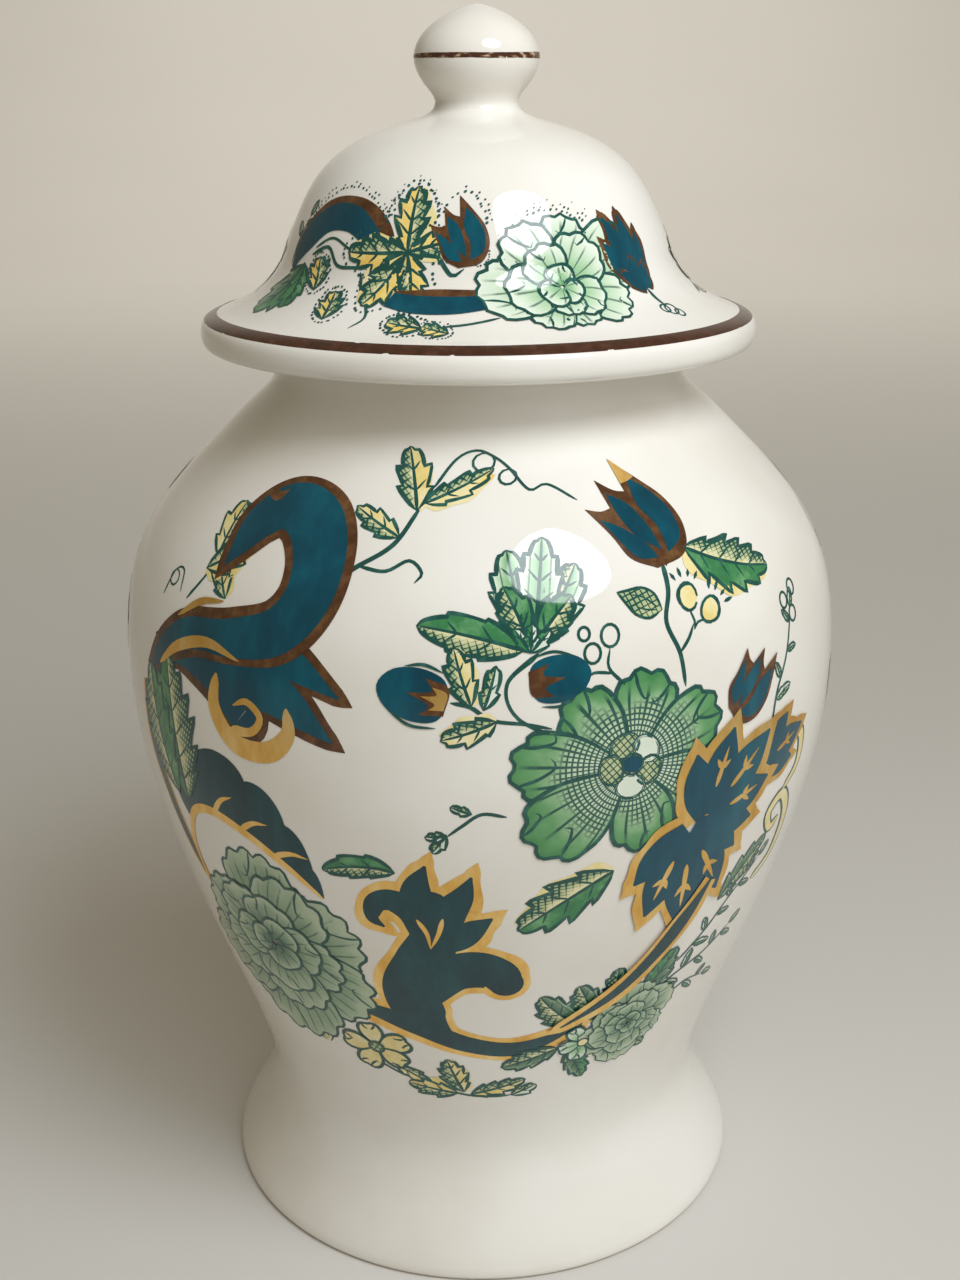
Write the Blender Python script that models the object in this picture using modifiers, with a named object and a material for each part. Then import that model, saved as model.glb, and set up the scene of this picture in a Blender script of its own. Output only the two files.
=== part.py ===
"""Lidded ginger jar: a slip-cast jar body and a lid that lifts off its collar.

Metres, +Z up. The jar stands on z = 0 and its axis is +Z. Both pieces are turned
shapes: a profile of (radius, height) points, spun by a Screw modifier.
"""

import math

import bpy

# Jar body, outside. Heights are above the surface that the jar stands on.
COLLAR_TOP = 0.1710       # height of the jar without its lid
COLLAR_RADIUS = 0.0380    # outside of the short upright collar
COLLAR_UPRIGHT = 0.0025   # straight stretch below the lip
COLLAR_FILLET = 0.0076    # height of the hollow between collar and shoulder
COLLAR_SPREAD = 0.0060    # how far the hollow leads out to the round shoulder
BELLY_RADIUS = 0.0684     # widest point of the jar
BELLY_HEIGHT = 0.1125
WAIST_RADIUS = 0.0449     # narrowest point above the foot
WAIST_HEIGHT = 0.0230
FOOT_RADIUS = 0.0529      # edge of the spreading foot
FOOT_EDGE_ROUND = 0.0013

# Jar body, walls and base.
JAR_WALL = 0.0042
FLOOR_THICKNESS = 0.0050
BASE_RECESS = 0.0035      # depth of the hollow under the base
FOOT_RING_WIDTH = 0.0080  # flat ring that the jar stands on
FLOOR_FILLET = 0.0060
LIP_ROUND = 0.0010

# Lid, outside, from the seat up. Each rise starts where the one before it ends.
LID_RIM_RADIUS = 0.0512
LID_RIM_THICKNESS = 0.0055
FLARE_RISE = 0.0129       # rim to the steepest point of the side, above the flare
FLARE_RADIUS = 0.0348
DOME_RISE = 0.0207        # up to the hollow below the knob
DOME_TOP_RADIUS = 0.0120
HOLLOW_RISE = 0.0032      # up to the knob's waist
KNOB_WAIST_RADIUS = 0.0075
KNOB_NECK_RISE = 0.0074   # up to the knob's widest line
KNOB_RADIUS = 0.0112
KNOB_TIP_RISE = 0.0090    # up to the knob's tip

# Lid, inside and underneath.
LID_WALL = 0.0042
FLANGE_DEPTH = 0.0110     # how far the locating flange reaches into the collar
FLANGE_WALL = 0.0035
FLANGE_ROUND = 0.0010

# Fits between the two pieces.
SEAT_GAP = 0.0003         # lid rim above the collar's lip
FLANGE_CLEARANCE = 0.0010 # flange to the inside of the collar, on the radius

# Smoothness of the turned solids.
TURN_STEPS = 48


def bezier(start, start_handle, end_handle, end, steps):
    """One cubic span of (radius, height) points, without its first point."""
    points = []
    for step in range(1, steps + 1):
        t = step / steps
        s = 1 - t
        weights = (s ** 3, 3 * s * s * t, 3 * s * t * t, t ** 3)
        corners = (start, start_handle, end_handle, end)
        radius = sum(w * corner[0] for w, corner in zip(weights, corners))
        height = sum(w * corner[1] for w, corner in zip(weights, corners))
        points.append((radius, height))
    return points


def upright_span(start, end, start_pull, end_pull, steps):
    """A span that leaves and arrives upright; the pulls are shares of its height."""
    rise = end[1] - start[1]
    start_handle = (start[0], start[1] + start_pull * rise)
    end_handle = (end[0], end[1] - end_pull * rise)
    return bezier(start, start_handle, end_handle, end, steps)


def quarter_turn(center, radius, first_angle, last_angle, steps):
    """Arc points about a center, from first_angle to last_angle in degrees."""
    points = []
    for step in range(steps + 1):
        angle = math.radians(first_angle + (last_angle - first_angle) * step / steps)
        points.append((center[0] + radius * math.cos(angle), center[1] + radius * math.sin(angle)))
    return points


def inset(points, wall):
    """Points moved one wall thickness towards the inside of a side that runs down."""
    moved = []
    for index, (radius, height) in enumerate(points):
        before = points[max(index - 1, 0)]
        after = points[min(index + 1, len(points) - 1)]
        run = after[0] - before[0]
        drop = after[1] - before[1]
        length = math.hypot(run, drop)
        moved.append((radius + wall * drop / length, height - wall * run / length))
    return moved


def jar_side():
    """Outer side of the jar, from below the lip to the edge of the foot."""
    collar_foot = (COLLAR_RADIUS, COLLAR_TOP - LIP_ROUND - COLLAR_UPRIGHT)
    shoulder = (COLLAR_RADIUS + COLLAR_SPREAD, collar_foot[1] - COLLAR_FILLET)
    belly = (BELLY_RADIUS, BELLY_HEIGHT)
    waist = (WAIST_RADIUS, WAIST_HEIGHT)
    foot = (FOOT_RADIUS, FOOT_EDGE_ROUND)

    fall = shoulder[1] - belly[1]
    lead_out = 0.72 * (belly[0] - shoulder[0])
    lead_down = 0.36 * fall
    shoulder_out = (shoulder[0] + lead_out, shoulder[1] - lead_down)
    belly_above = (belly[0], belly[1] + 0.52 * fall)
    hollow_pull = 0.40 * COLLAR_FILLET
    hollow_end = (shoulder[0] - hollow_pull * lead_out / lead_down, shoulder[1] + hollow_pull)

    side = [(COLLAR_RADIUS, COLLAR_TOP - LIP_ROUND), collar_foot]
    side += bezier(collar_foot, (collar_foot[0], collar_foot[1] - hollow_pull), hollow_end, shoulder, 4)
    side += bezier(shoulder, shoulder_out, belly_above, belly, 8)
    side += upright_span(belly, waist, 0.385, 0.17, 10)
    side += upright_span(waist, foot, 0.46, 0.18, 6)
    return side


def jar_profile():
    """Closed half section of the jar, from the floor's center up and over the lip."""
    side = jar_side()
    floor = BASE_RECESS + FLOOR_THICKNESS
    inside = [point for point in inset(side, JAR_WALL) if point[1] > floor + FLOOR_FILLET]
    inside.reverse()
    wall_foot = inside[0]
    mouth_radius = COLLAR_RADIUS - JAR_WALL
    inside = [point for point in inside if point[1] < COLLAR_TOP - LIP_ROUND]

    floor_edge = (wall_foot[0] - FLOOR_FILLET, floor)
    profile = [(0.0, floor), floor_edge]
    profile += bezier(floor_edge, (wall_foot[0], floor), (wall_foot[0], floor), wall_foot, 4)
    profile += inside[1:]
    profile += quarter_turn((mouth_radius + LIP_ROUND, COLLAR_TOP - LIP_ROUND), LIP_ROUND, 180, 90, 3)
    profile += quarter_turn((COLLAR_RADIUS - LIP_ROUND, COLLAR_TOP - LIP_ROUND), LIP_ROUND, 90, 0, 3)
    profile += side[1:]

    edge_center = (FOOT_RADIUS - FOOT_EDGE_ROUND, FOOT_EDGE_ROUND)
    profile += quarter_turn(edge_center, FOOT_EDGE_ROUND, 0, -90, 3)[1:]
    ring_inside = FOOT_RADIUS - FOOT_EDGE_ROUND - FOOT_RING_WIDTH
    profile += [(ring_inside, 0.0), (ring_inside - BASE_RECESS, BASE_RECESS), (0.0, BASE_RECESS)]
    return profile


def lid_dome(seat):
    """Outer side of the lid's dome, from the hollow below the knob down to the flare."""
    steep = (FLARE_RADIUS, seat + LID_RIM_THICKNESS + FLARE_RISE)
    top = (DOME_TOP_RADIUS, steep[1] + DOME_RISE)
    run = steep[0] - top[0]
    fall = top[1] - steep[1]
    top_handle = (top[0] + 0.69 * run, top[1] - 0.19 * fall)
    steep_handle = (steep[0] - 0.20 * run, steep[1] + 0.53 * fall)
    return [top] + bezier(top, top_handle, steep_handle, steep, 8)


def lid_profile():
    """Closed half section of the lid, from the knob's tip down and round the flange."""
    seat = COLLAR_TOP + SEAT_GAP
    dome = lid_dome(seat)
    dome_top = dome[0]
    steep = dome[-1]
    knob_waist = (KNOB_WAIST_RADIUS, dome_top[1] + HOLLOW_RISE)
    knob = (KNOB_RADIUS, knob_waist[1] + KNOB_NECK_RISE)
    tip = (0.0, knob[1] + KNOB_TIP_RISE)

    profile = [tip]
    tip_handle = (0.45 * knob[0], tip[1] - 0.10 * KNOB_TIP_RISE)
    profile += bezier(tip, tip_handle, (knob[0], knob[1] + 0.52 * KNOB_TIP_RISE), knob, 6)
    profile += upright_span(knob, knob_waist, 0.50, 0.21, 5)
    hollow_run = dome_top[0] - knob_waist[0]
    below_waist = (knob_waist[0], knob_waist[1] - 0.55 * HOLLOW_RISE)
    hollow_handle = (dome_top[0] - 0.60 * hollow_run, dome_top[1] + 0.25 * HOLLOW_RISE)
    profile += bezier(knob_waist, below_waist, hollow_handle, dome_top, 4)
    profile += dome[1:]

    roll = LID_RIM_THICKNESS / 2
    rim_shoulder = (LID_RIM_RADIUS - 0.5 * roll, seat + LID_RIM_THICKNESS)
    flare_run = rim_shoulder[0] - steep[0]
    steep_handle = (steep[0] + 0.12 * flare_run, steep[1] - 0.58 * FLARE_RISE)
    rim_handle = (rim_shoulder[0] - 0.42 * flare_run, rim_shoulder[1] + 0.17 * FLARE_RISE)
    profile += bezier(steep, steep_handle, rim_handle, rim_shoulder, 7)
    rim_edge = (LID_RIM_RADIUS, seat + 0.52 * LID_RIM_THICKNESS)
    profile += bezier(rim_shoulder, (LID_RIM_RADIUS - 0.1 * roll, rim_shoulder[1] - 0.2 * roll),
                      (LID_RIM_RADIUS, rim_edge[1] + 0.4 * roll), rim_edge, 3)
    rim_under = (LID_RIM_RADIUS - 0.85 * roll, seat)
    profile += bezier(rim_edge, (LID_RIM_RADIUS, seat + 0.3 * roll),
                      (LID_RIM_RADIUS - 0.3 * roll, seat), rim_under, 4)

    flange_outside = COLLAR_RADIUS - JAR_WALL - FLANGE_CLEARANCE
    flange_inside = flange_outside - FLANGE_WALL
    flange_end = seat - FLANGE_DEPTH
    profile.append((flange_outside, seat))
    outer_round = (flange_outside - FLANGE_ROUND, flange_end + FLANGE_ROUND)
    inner_round = (flange_inside + FLANGE_ROUND, flange_end + FLANGE_ROUND)
    profile += quarter_turn(outer_round, FLANGE_ROUND, 0, -90, 3)
    profile += quarter_turn(inner_round, FLANGE_ROUND, -90, -180, 3)

    inside = inset(dome, LID_WALL)
    inside.reverse()
    flange_top = (flange_inside, seat + 0.2 * FLANGE_DEPTH)
    profile.append(flange_top)
    profile += upright_span(flange_top, inside[0], 0.4, 0.4, 3)
    profile += inside[1:]
    profile.append((0.0, inside[-1][1]))
    return profile


def glaze(name, color, roughness):
    """Glazed cream earthenware."""
    material = bpy.data.materials.new(name)
    material.use_nodes = True
    shader = material.node_tree.nodes["Principled BSDF"]
    shader.inputs["Base Color"].default_value = (*color, 1.0)
    shader.inputs["Roughness"].default_value = roughness
    shader.inputs["Metallic"].default_value = 0.0
    return material


def turned(name, profile, material, collection):
    """A solid of revolution about +Z through the origin."""
    mesh = bpy.data.meshes.new(name)
    vertices = [(radius, 0.0, height) for radius, height in profile]
    edges = [(index, index + 1) for index in range(len(profile) - 1)]
    mesh.from_pydata(vertices, edges, [])
    mesh.materials.append(material)
    piece = bpy.data.objects.new(name, mesh)
    collection.objects.link(piece)
    screw = piece.modifiers.new("Turn", "SCREW")
    screw.axis = "Z"
    screw.steps = TURN_STEPS
    screw.render_steps = TURN_STEPS
    screw.use_smooth_shade = True
    screw.use_merge_vertices = True
    screw.merge_threshold = 0.00001
    return piece


def main():
    for old in list(bpy.data.objects):
        bpy.data.objects.remove(old, do_unlink=True)

    collection = bpy.data.collections.new("ginger_jar")
    bpy.context.scene.collection.children.link(collection)

    jar_glaze = glaze("jar_cream_glaze", (0.78, 0.74, 0.67), 0.12)
    lid_glaze = glaze("lid_cream_glaze", (0.80, 0.76, 0.70), 0.10)
    turned("jar_body", jar_profile(), jar_glaze, collection)
    turned("lid", lid_profile(), lid_glaze, collection)


main()
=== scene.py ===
import math
import random

import bpy
import numpy as np
from mathutils import Matrix, Vector
from mathutils.geometry import delaunay_2d_cdt


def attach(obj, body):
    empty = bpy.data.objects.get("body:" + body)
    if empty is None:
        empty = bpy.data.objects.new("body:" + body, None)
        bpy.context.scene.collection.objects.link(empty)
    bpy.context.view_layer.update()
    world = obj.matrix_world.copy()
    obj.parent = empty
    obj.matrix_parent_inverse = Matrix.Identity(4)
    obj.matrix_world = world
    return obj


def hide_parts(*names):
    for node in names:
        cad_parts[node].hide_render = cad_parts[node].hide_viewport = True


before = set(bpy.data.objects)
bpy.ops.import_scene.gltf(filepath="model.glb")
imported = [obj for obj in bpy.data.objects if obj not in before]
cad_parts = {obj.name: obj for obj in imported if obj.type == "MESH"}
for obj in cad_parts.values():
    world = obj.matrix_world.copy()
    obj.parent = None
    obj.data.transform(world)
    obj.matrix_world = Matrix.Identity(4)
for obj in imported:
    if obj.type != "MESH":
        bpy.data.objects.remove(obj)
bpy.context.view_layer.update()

dice = random.Random(11)  # every small irregularity of the hand painting comes from here
mm = 0.001
tiny = 1e-9               # keeps a division away from nothing


# colours and nodes

def linear(code):
    shares = [int(code[place:place + 2], 16) / 255 for place in (1, 3, 5)]
    return tuple(s / 12.92 if s <= 0.04045 else ((s + 0.055) / 1.055) ** 2.4 for s in shares) + (1.0,)


def addNode(tree, kind, values=None, links=None, stops=None, **settings):
    added = tree.nodes.new(kind)
    for name, value in settings.items():
        setattr(added, name, value)
    for socket, value in (values or {}).items():
        added.inputs[socket].default_value = value
    for socket, source in (links or {}).items():
        tree.links.new(getattr(source, "outputs", [source])[0], added.inputs[socket])
    if stops:
        while len(added.color_ramp.elements) < len(stops):
            added.color_ramp.elements.new(0.5)
        for element, (place, colour) in zip(added.color_ramp.elements, stops):
            element.position = place
            element.color = linear(colour)
    return added


def mathNode(tree, operation, *parts):
    # a number is set on the node, anything else is linked to it
    numbers = {k: part for k, part in enumerate(parts) if isinstance(part, (int, float))}
    linked = {k: part for k, part in enumerate(parts) if k not in numbers}
    return addNode(tree, "ShaderNodeMath", numbers, linked, operation=operation)


def offMiddle(tree, source):
    # how far a value lies from the middle of its own whole step
    return mathNode(tree, "ABSOLUTE", mathNode(tree, "SUBTRACT", mathNode(tree, "FRACT", source), 0.5))


def mapped(tree, source, low, high, start=0.0, end=1.0):
    return addNode(tree, "ShaderNodeMapRange",
                   {"From Min": low, "From Max": high, "To Min": start, "To Max": end}, {"Value": source})


def noise(tree, place, size, detail, roughness=0.5):
    # size in mm across one patch
    return addNode(tree, "ShaderNodeTexNoise",
                   {"Scale": 1000 / size, "Detail": detail, "Roughness": roughness}, {"Vector": place})


def ramp(tree, source, *stops):
    return addNode(tree, "ShaderNodeValToRGB", links={0: source}, stops=stops).outputs[0]


def mixed(tree, share, under, upper):
    # a colour code is set on the node, anything else is linked to it
    parts = {0: share, 6: under, 7: upper}
    codes = {k: linear(part) for k, part in parts.items() if isinstance(part, str)}
    linked = {k: part for k, part in parts.items() if k not in codes}
    return addNode(tree, "ShaderNodeMix", codes, linked, data_type="RGBA").outputs[2]


def startMaterial(name, finish):
    material = bpy.data.materials.new(name)
    material.use_nodes = True
    tree = material.node_tree
    shader = tree.nodes["Principled BSDF"]
    for socket, value in finish.items():
        shader.inputs[socket].default_value = value
    return material, tree, shader, addNode(tree, "ShaderNodeTexCoord").outputs["Object"]


def selectOnly(piece):
    bpy.ops.object.select_all(action="DESELECT")
    piece.select_set(True)
    bpy.context.view_layer.objects.active = piece


# the turned section of each piece, read from its CAD node

turning = {
    "spacing": 2.0 * mm,     # between the points of the finished section
    "steps": 168,            # round the axis
    "sharp": 33,             # a turn of more degrees than this stays an edge
    "shaded": 40,            # degrees from which an edge is shaded as one
    "straight": 4.0 * mm,    # level and upright stretches are held straight by points this far apart
    "level": 0.01 * mm,      # a stretch that rises or runs less than this is level or upright
    "merge": 0.01 * mm,      # corners of the CAD mesh nearer than this are one
    "plane": 0.001 * mm,     # how near to the cutting plane a corner of the section lies
    "seam": 0.002 * mm,      # points of the turned piece nearer than this are one
}


def readSection(nodeName):
    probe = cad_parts[nodeName].copy()
    probe.data = probe.data.copy()
    bpy.context.collection.objects.link(probe)
    selectOnly(probe)
    bpy.ops.object.mode_set(mode="EDIT")
    bpy.ops.mesh.select_all(action="SELECT")
    bpy.ops.mesh.remove_doubles(threshold=turning["merge"])
    bpy.ops.object.mode_set(mode="OBJECT")
    corners = {v.index: (v.co.x, v.co.z) for v in probe.data.vertices
               if abs(v.co.y) < turning["plane"] and v.co.x > -turning["plane"]}
    links = {index: [] for index in corners}
    for edge in probe.data.edges:
        one, other = edge.vertices
        if one in corners and other in corners:
            links[one].append(other)
            links[other].append(one)
    # both ends lie on the axis: the walk starts at the higher one, which the outside of a lid needs
    ends = [index for index, near in links.items() if len(near) == 1]
    here = max(ends, key=lambda index: corners[index][1])
    walked = [here]
    while True:
        onward = [index for index in links[walked[-1]] if index not in walked]
        if not onward:
            break
        walked.append(onward[0])
    section = [(max(corners[index][0], 0.0), corners[index][1]) for index in walked]
    mesh = probe.data
    bpy.data.objects.remove(probe)
    bpy.data.meshes.remove(mesh)
    return section


def splineRun(points):
    # a natural cubic spline by chord length, so reflections run on without a break
    points = np.array(points)
    count = len(points)
    if count < 3:
        return points
    spans = np.maximum(np.linalg.norm(np.diff(points, axis=0), axis=1), tiny)
    system = np.zeros((count, count))
    wanted = np.zeros((count, 2))
    system[0, 0] = system[-1, -1] = 1.0
    for i in range(1, count - 1):
        system[i, i - 1:i + 2] = spans[i - 1], 2 * (spans[i - 1] + spans[i]), spans[i]
        wanted[i] = 6 * ((points[i + 1] - points[i]) / spans[i] - (points[i] - points[i - 1]) / spans[i - 1])
    bends = np.linalg.solve(system, wanted)
    drawn = [points[0]]
    for i in range(count - 1):
        steps = max(2, math.ceil(spans[i] / turning["spacing"]))
        for step in range(1, steps + 1):
            b = step / steps
            a = 1 - b
            curve = ((a ** 3 - a) * bends[i] + (b ** 3 - b) * bends[i + 1]) * spans[i] ** 2 / 6
            drawn.append(a * points[i] + b * points[i + 1] + curve)
    return np.array(drawn)


def fineSection(nodeName):
    coarse = readSection(nodeName)
    held = [coarse[0]]
    for before, after in zip(coarse, coarse[1:]):
        run, rise = after[0] - before[0], after[1] - before[1]
        if min(abs(run), abs(rise)) < turning["level"]:
            parts = math.ceil(math.hypot(run, rise) / turning["straight"])
            held += [(before[0] + run * k / parts, before[1] + rise * k / parts) for k in range(1, parts)]
        held.append(after)
    runs, current = [], [held[0]]
    for before, here, after in zip(held, held[1:], held[2:]):
        current.append(here)
        bend = Vector((here[0] - before[0], here[1] - before[1])).angle(
            Vector((after[0] - here[0], after[1] - here[1])), 0.0)
        if math.degrees(bend) > turning["sharp"]:
            runs.append(current)
            current = [here]
    runs.append(current + [held[-1]])
    fine = [tuple(held[0])]
    for run in runs:
        fine += [tuple(point) for point in splineRun(run)[1:]]
    fine[0] = (0.0, fine[0][1])
    fine[-1] = (0.0, fine[-1][1])
    return fine


def turnPiece(name, section):
    mesh = bpy.data.meshes.new(name)
    mesh.from_pydata([(radius, 0.0, height) for radius, height in section],
                     [(i, i + 1) for i in range(len(section) - 1)], [])
    piece = bpy.data.objects.new(name, mesh)
    bpy.context.collection.objects.link(piece)
    selectOnly(piece)
    bpy.ops.object.mode_set(mode="EDIT")
    bpy.ops.mesh.select_all(action="SELECT")
    bpy.ops.mesh.spin(steps=turning["steps"], angle=2 * math.pi, center=(0, 0, 0), axis=(0, 0, 1))
    bpy.ops.mesh.select_all(action="SELECT")
    bpy.ops.mesh.remove_doubles(threshold=turning["seam"])
    bpy.ops.mesh.normals_make_consistent(inside=False)
    bpy.ops.object.mode_set(mode="OBJECT")
    bpy.ops.object.shade_smooth_by_angle(angle=math.radians(turning["shaded"]))
    print(name, "turned:", len(mesh.polygons), "faces")
    return piece


jarSection = fineSection("jar_body")
lidSection = fineSection("lid")
jarPiece = turnPiece("glazed_jar", jarSection)
lidPiece = turnPiece("glazed_lid", lidSection)


# the outside of each piece, from the bottom up, in millimetres: what the decoration is laid on

def outsideOf(points):
    points = np.array(points) * 1000
    steps = np.diff(points, axis=0)
    along = np.concatenate([[0.0], np.cumsum(np.linalg.norm(steps, axis=1))])
    slope = np.gradient(points, along, axis=0)
    slope /= np.linalg.norm(slope, axis=1)[:, None]
    return {"along": along, "radius": points[:, 0], "height": points[:, 1],
            "outward": slope[:, 1], "upward": -slope[:, 0]}


def jarOutside():
    heights = [height for radius, height in jarSection]
    lip = heights.index(max(heights))
    side = [point for point in jarSection[lip:] if point[1] > 1.5 * mm and point[0] > 30 * mm]
    side = side if side[0][1] < side[-1][1] else side[::-1]
    return outsideOf(side)


def lidOutside():
    radii = [radius for radius, height in lidSection]
    return outsideOf(lidSection[:radii.index(max(radii)) + 1][::-1])


sides = {"jar": jarOutside(), "lid": lidOutside()}
print("outside of the jar", round(sides["jar"]["along"][-1]), "mm, of the lid",
      round(sides["lid"]["along"][-1]), "mm along the curve")


# glaze

glazeLook = {
    "body": "#EEECE6",          # soft cream white of the fired glaze
    "cloud": "#E6E2D9",         # where it lies a little thicker
    "foot": "#CDBFA6",          # bare biscuit of the ring that it stands on
    "speck": "#8C7D68",
    "cloudSize": 34,            # mm across the mottling
    "rippleSize": 9,            # mm across the slow ripples of the glaze
    "speckSpacing": 13,         # mm between the rare iron specks
    "speckSize": 0.22,          # mm across one
    "speckShare": 0.28,         # of the places that could hold one
    "grainSize": 1.11,          # mm across the grain of the bare ring
    "roughness": 0.025, "footRoughness": 0.75,
    "footBare": 0.35,           # mm above the ground that the wiped ring reaches
}


def creamGlaze(name, look):
    # clear lead-type glaze over white earthenware: wet shine, faint mottling, rare iron specks
    material, tree, shader, place = startMaterial(name, {"Roughness": look["roughness"], "IOR": 1.52})
    clouds = noise(tree, place, look["cloudSize"], 3.0)
    mottled = ramp(tree, clouds, (0.35, look["cloud"]), (0.65, look["body"]))
    cells = addNode(tree, "ShaderNodeTexVoronoi", {"Scale": 1000 / look["speckSpacing"]}, {"Vector": place})
    chosen = addNode(tree, "ShaderNodeSeparateColor", links={0: cells.outputs["Color"]})
    rare = mathNode(tree, "GREATER_THAN", chosen, 1 - look["speckShare"])
    small = mathNode(tree, "LESS_THAN", cells.outputs["Distance"], look["speckSize"] / look["speckSpacing"])
    faint = mathNode(tree, "MULTIPLY", mathNode(tree, "MULTIPLY", rare, small), 0.7)
    specked = mixed(tree, faint, mottled, look["speck"])
    height = addNode(tree, "ShaderNodeSeparateXYZ", links={0: place}).outputs["Z"]
    bare = mapped(tree, height, (look["footBare"] + 0.3) * mm, look["footBare"] * mm)
    tree.links.new(mixed(tree, bare, specked, look["foot"]), shader.inputs["Base Color"])
    gloss = mapped(tree, bare, 0.0, 1.0, look["roughness"], look["footRoughness"])
    tree.links.new(gloss.outputs[0], shader.inputs["Roughness"])
    rough = mathNode(tree, "MULTIPLY", bare, noise(tree, place, look["grainSize"], 4.0))
    relief = mathNode(tree, "ADD", noise(tree, place, look["rippleSize"], 1.0), rough)
    bump = addNode(tree, "ShaderNodeBump", {"Strength": 0.10, "Distance": 0.25 * mm}, {"Height": relief})
    tree.links.new(bump.outputs[0], shader.inputs["Normal"])
    return material


creamJar = creamGlaze("Cream earthenware glaze", glazeLook)
jarPiece.data.materials.append(creamJar)
lidPiece.data.materials.append(creamJar)
for piece, body, node, slot in ((jarPiece, "jar", "jar_body", "jar_glaze"),
                                (lidPiece, "lid", "lid", "lid_glaze")):
    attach(piece, body)
    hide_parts(node)
print("jar and lid glazed")


# enamels, fired onto the glaze

printInk = {
    "line": "#1B4E47",
    "dotSize": 0.95,    # mm between the engraved dots, drawn a third coarser than engraved so they show
    "dotEdge": (0.27, 0.37), "ribEdge": (0.40, 0.44),    # where the ink begins and is full, in one step
}
wetEnamel = {"Roughness": 0.08, "IOR": 1.50}
dryEnamel = {"Roughness": 0.20, "IOR": 1.50}
thinWash = {"Roughness": 0.05, "IOR": 1.52}

brushedLook = {
    # the finish, its shader values, its deep, middle and thin tone, mm between the streaks that the brush
    # leaves, and how far they are drawn out upwards
    # thick and wet: deep blue green, streaked
    "teal": ("Teal overglaze enamel", wetEnamel, ("#013A4A", "#00485A", "#045C6C"), 7.0, 0.3),
    # the same teal, darkened and greyed for the lower jar where less light falls: a shaded copy of the teal,
    # painted shade
    "tealLow": ("Teal enamel darkened as painted shade", wetEnamel, ("#0E3238", "#123F46", "#1C5056"), 7.0, 0.3),
    # iron brown: nearly black where thick, red brown where the brush drew it thin
    "brown": ("Brown overglaze enamel", dryEnamel, ("#432917", "#573821", "#7A5735"), 3.0, 1.0),
    "rimBand": ("Dark brown band enamel", dryEnamel, ("#3A2118", "#472A1E", "#5C3B2B"), 2.4, 1.0),
    # burnished liquid gold: warm metal, brushed, a little worn
    "gold": ("Burnished gold lustre", {"Metallic": 1.0, "Roughness": 0.42},
             ("#E4B058", "#F5CA78", "#FBE0A4"), 3.5, 0.3),
    # transfer-printed line: dry, slightly uneven ink under the glaze
    "line": ("Dark green transfer print", {"Roughness": 0.07, "IOR": 1.52},
             (printInk["line"], printInk["line"], "#376E63"), 2.45, 1.0),
    # thin washes: pale in the middle of the stroke, stronger where they settled
    "yellow": ("Yellow enamel wash", thinWash, ("#DFC36A", "#EADB9A", "#F0E8C8"), 5.0, 1.0),
    "green": ("Green enamel wash", thinWash, ("#2F6E45", "#3F8352", "#7DB27F"), 5.0, 1.0),
    "sun": ("Warm yellow enamel wash", thinWash, ("#E8BE58", "#F2D67C", "#F3E6AE"), 4.0, 1.0),
    "pale": ("Pale blossom wash", thinWash, ("#D5DFCD", "#D9E3D3", "#EEF0E8"), 5.0, 1.0),
}
engravedLook = {
    # the finish, its tones from heart to rim, where the dotted net begins and ends, how strong the lines
    # are, and every how many rows of dots a rib runs
    "petal": ("Green washed petal print", ("#E2EADB", "#B8D2AE", "#649C66", "#468650"), 0.10, 0.72, 0.95, 3),
    "shade": ("Grey green petal print", ("#44694F", "#648769", "#98B091", "#B9C8AD"), 0.95, 0.30, 0.72, 2),
    "blush": ("Pale green petal print", ("#6FA878", "#A3CAA0", "#D3E5CE", "#E3EEDF"), 0.95, 0.30, 0.72, 2),
}


def brushedEnamel(name, finish, tones, size, stretch):
    material, tree, shader, place = startMaterial(name, finish)
    drawn = addNode(tree, "ShaderNodeMapping", {"Scale": (1.0, 1.0, stretch)}, {"Vector": place})
    colour = ramp(tree, noise(tree, drawn, size, 5.0, 0.62), *zip((0.28, 0.50, 0.74), tones))
    tree.links.new(colour, shader.inputs["Base Color"])
    return material


def engravedPetal(name, tones, netFrom, netTo, lineStrength, ribEvery):
    # print and wash together: radiating lines and rows of dots, a wash that changes towards the rim
    material, tree, shader, place = startMaterial(name, thinWash)
    sheet = addNode(tree, "ShaderNodeSeparateXYZ",
                    links={0: addNode(tree, "ShaderNodeUVMap", uv_map="paintMap")})
    wash = addNode(tree, "ShaderNodeAttribute", attribute_name="wash").outputs["Fac"]
    wander = mathNode(tree, "MULTIPLY_ADD", noise(tree, place, 6.0, 3.0), 0.5, -0.25)
    amount = mathNode(tree, "ADD", wash, wander)
    tone = ramp(tree, amount, *zip((0.05, 0.50, 0.82, 1.0), tones))
    rows = mathNode(tree, "MULTIPLY", sheet.outputs["Y"], 1 / printInk["dotSize"])
    widest = mathNode(tree, "MAXIMUM", offMiddle(tree, sheet.outputs["X"]), offMiddle(tree, rows))
    net = mapped(tree, widest, *printInk["dotEdge"])
    ribs = mathNode(tree, "MULTIPLY", sheet.outputs["X"], 1 / ribEvery)
    rib = mapped(tree, offMiddle(tree, ribs), *printInk["ribEdge"])
    netSeen = mathNode(tree, "MULTIPLY", net, mapped(tree, amount, netTo, netTo - 0.12))
    netShown = mathNode(tree, "MULTIPLY", netSeen, mapped(tree, wash, netFrom, netFrom + 0.08))
    ribShown = mathNode(tree, "MULTIPLY", rib, mapped(tree, amount, 0.95, 0.80))
    printed = mathNode(tree, "MAXIMUM", netShown, ribShown)
    strength = mathNode(tree, "MULTIPLY", printed, lineStrength)
    tree.links.new(mixed(tree, strength, tone, printInk["line"]), shader.inputs["Base Color"])
    return material


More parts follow.
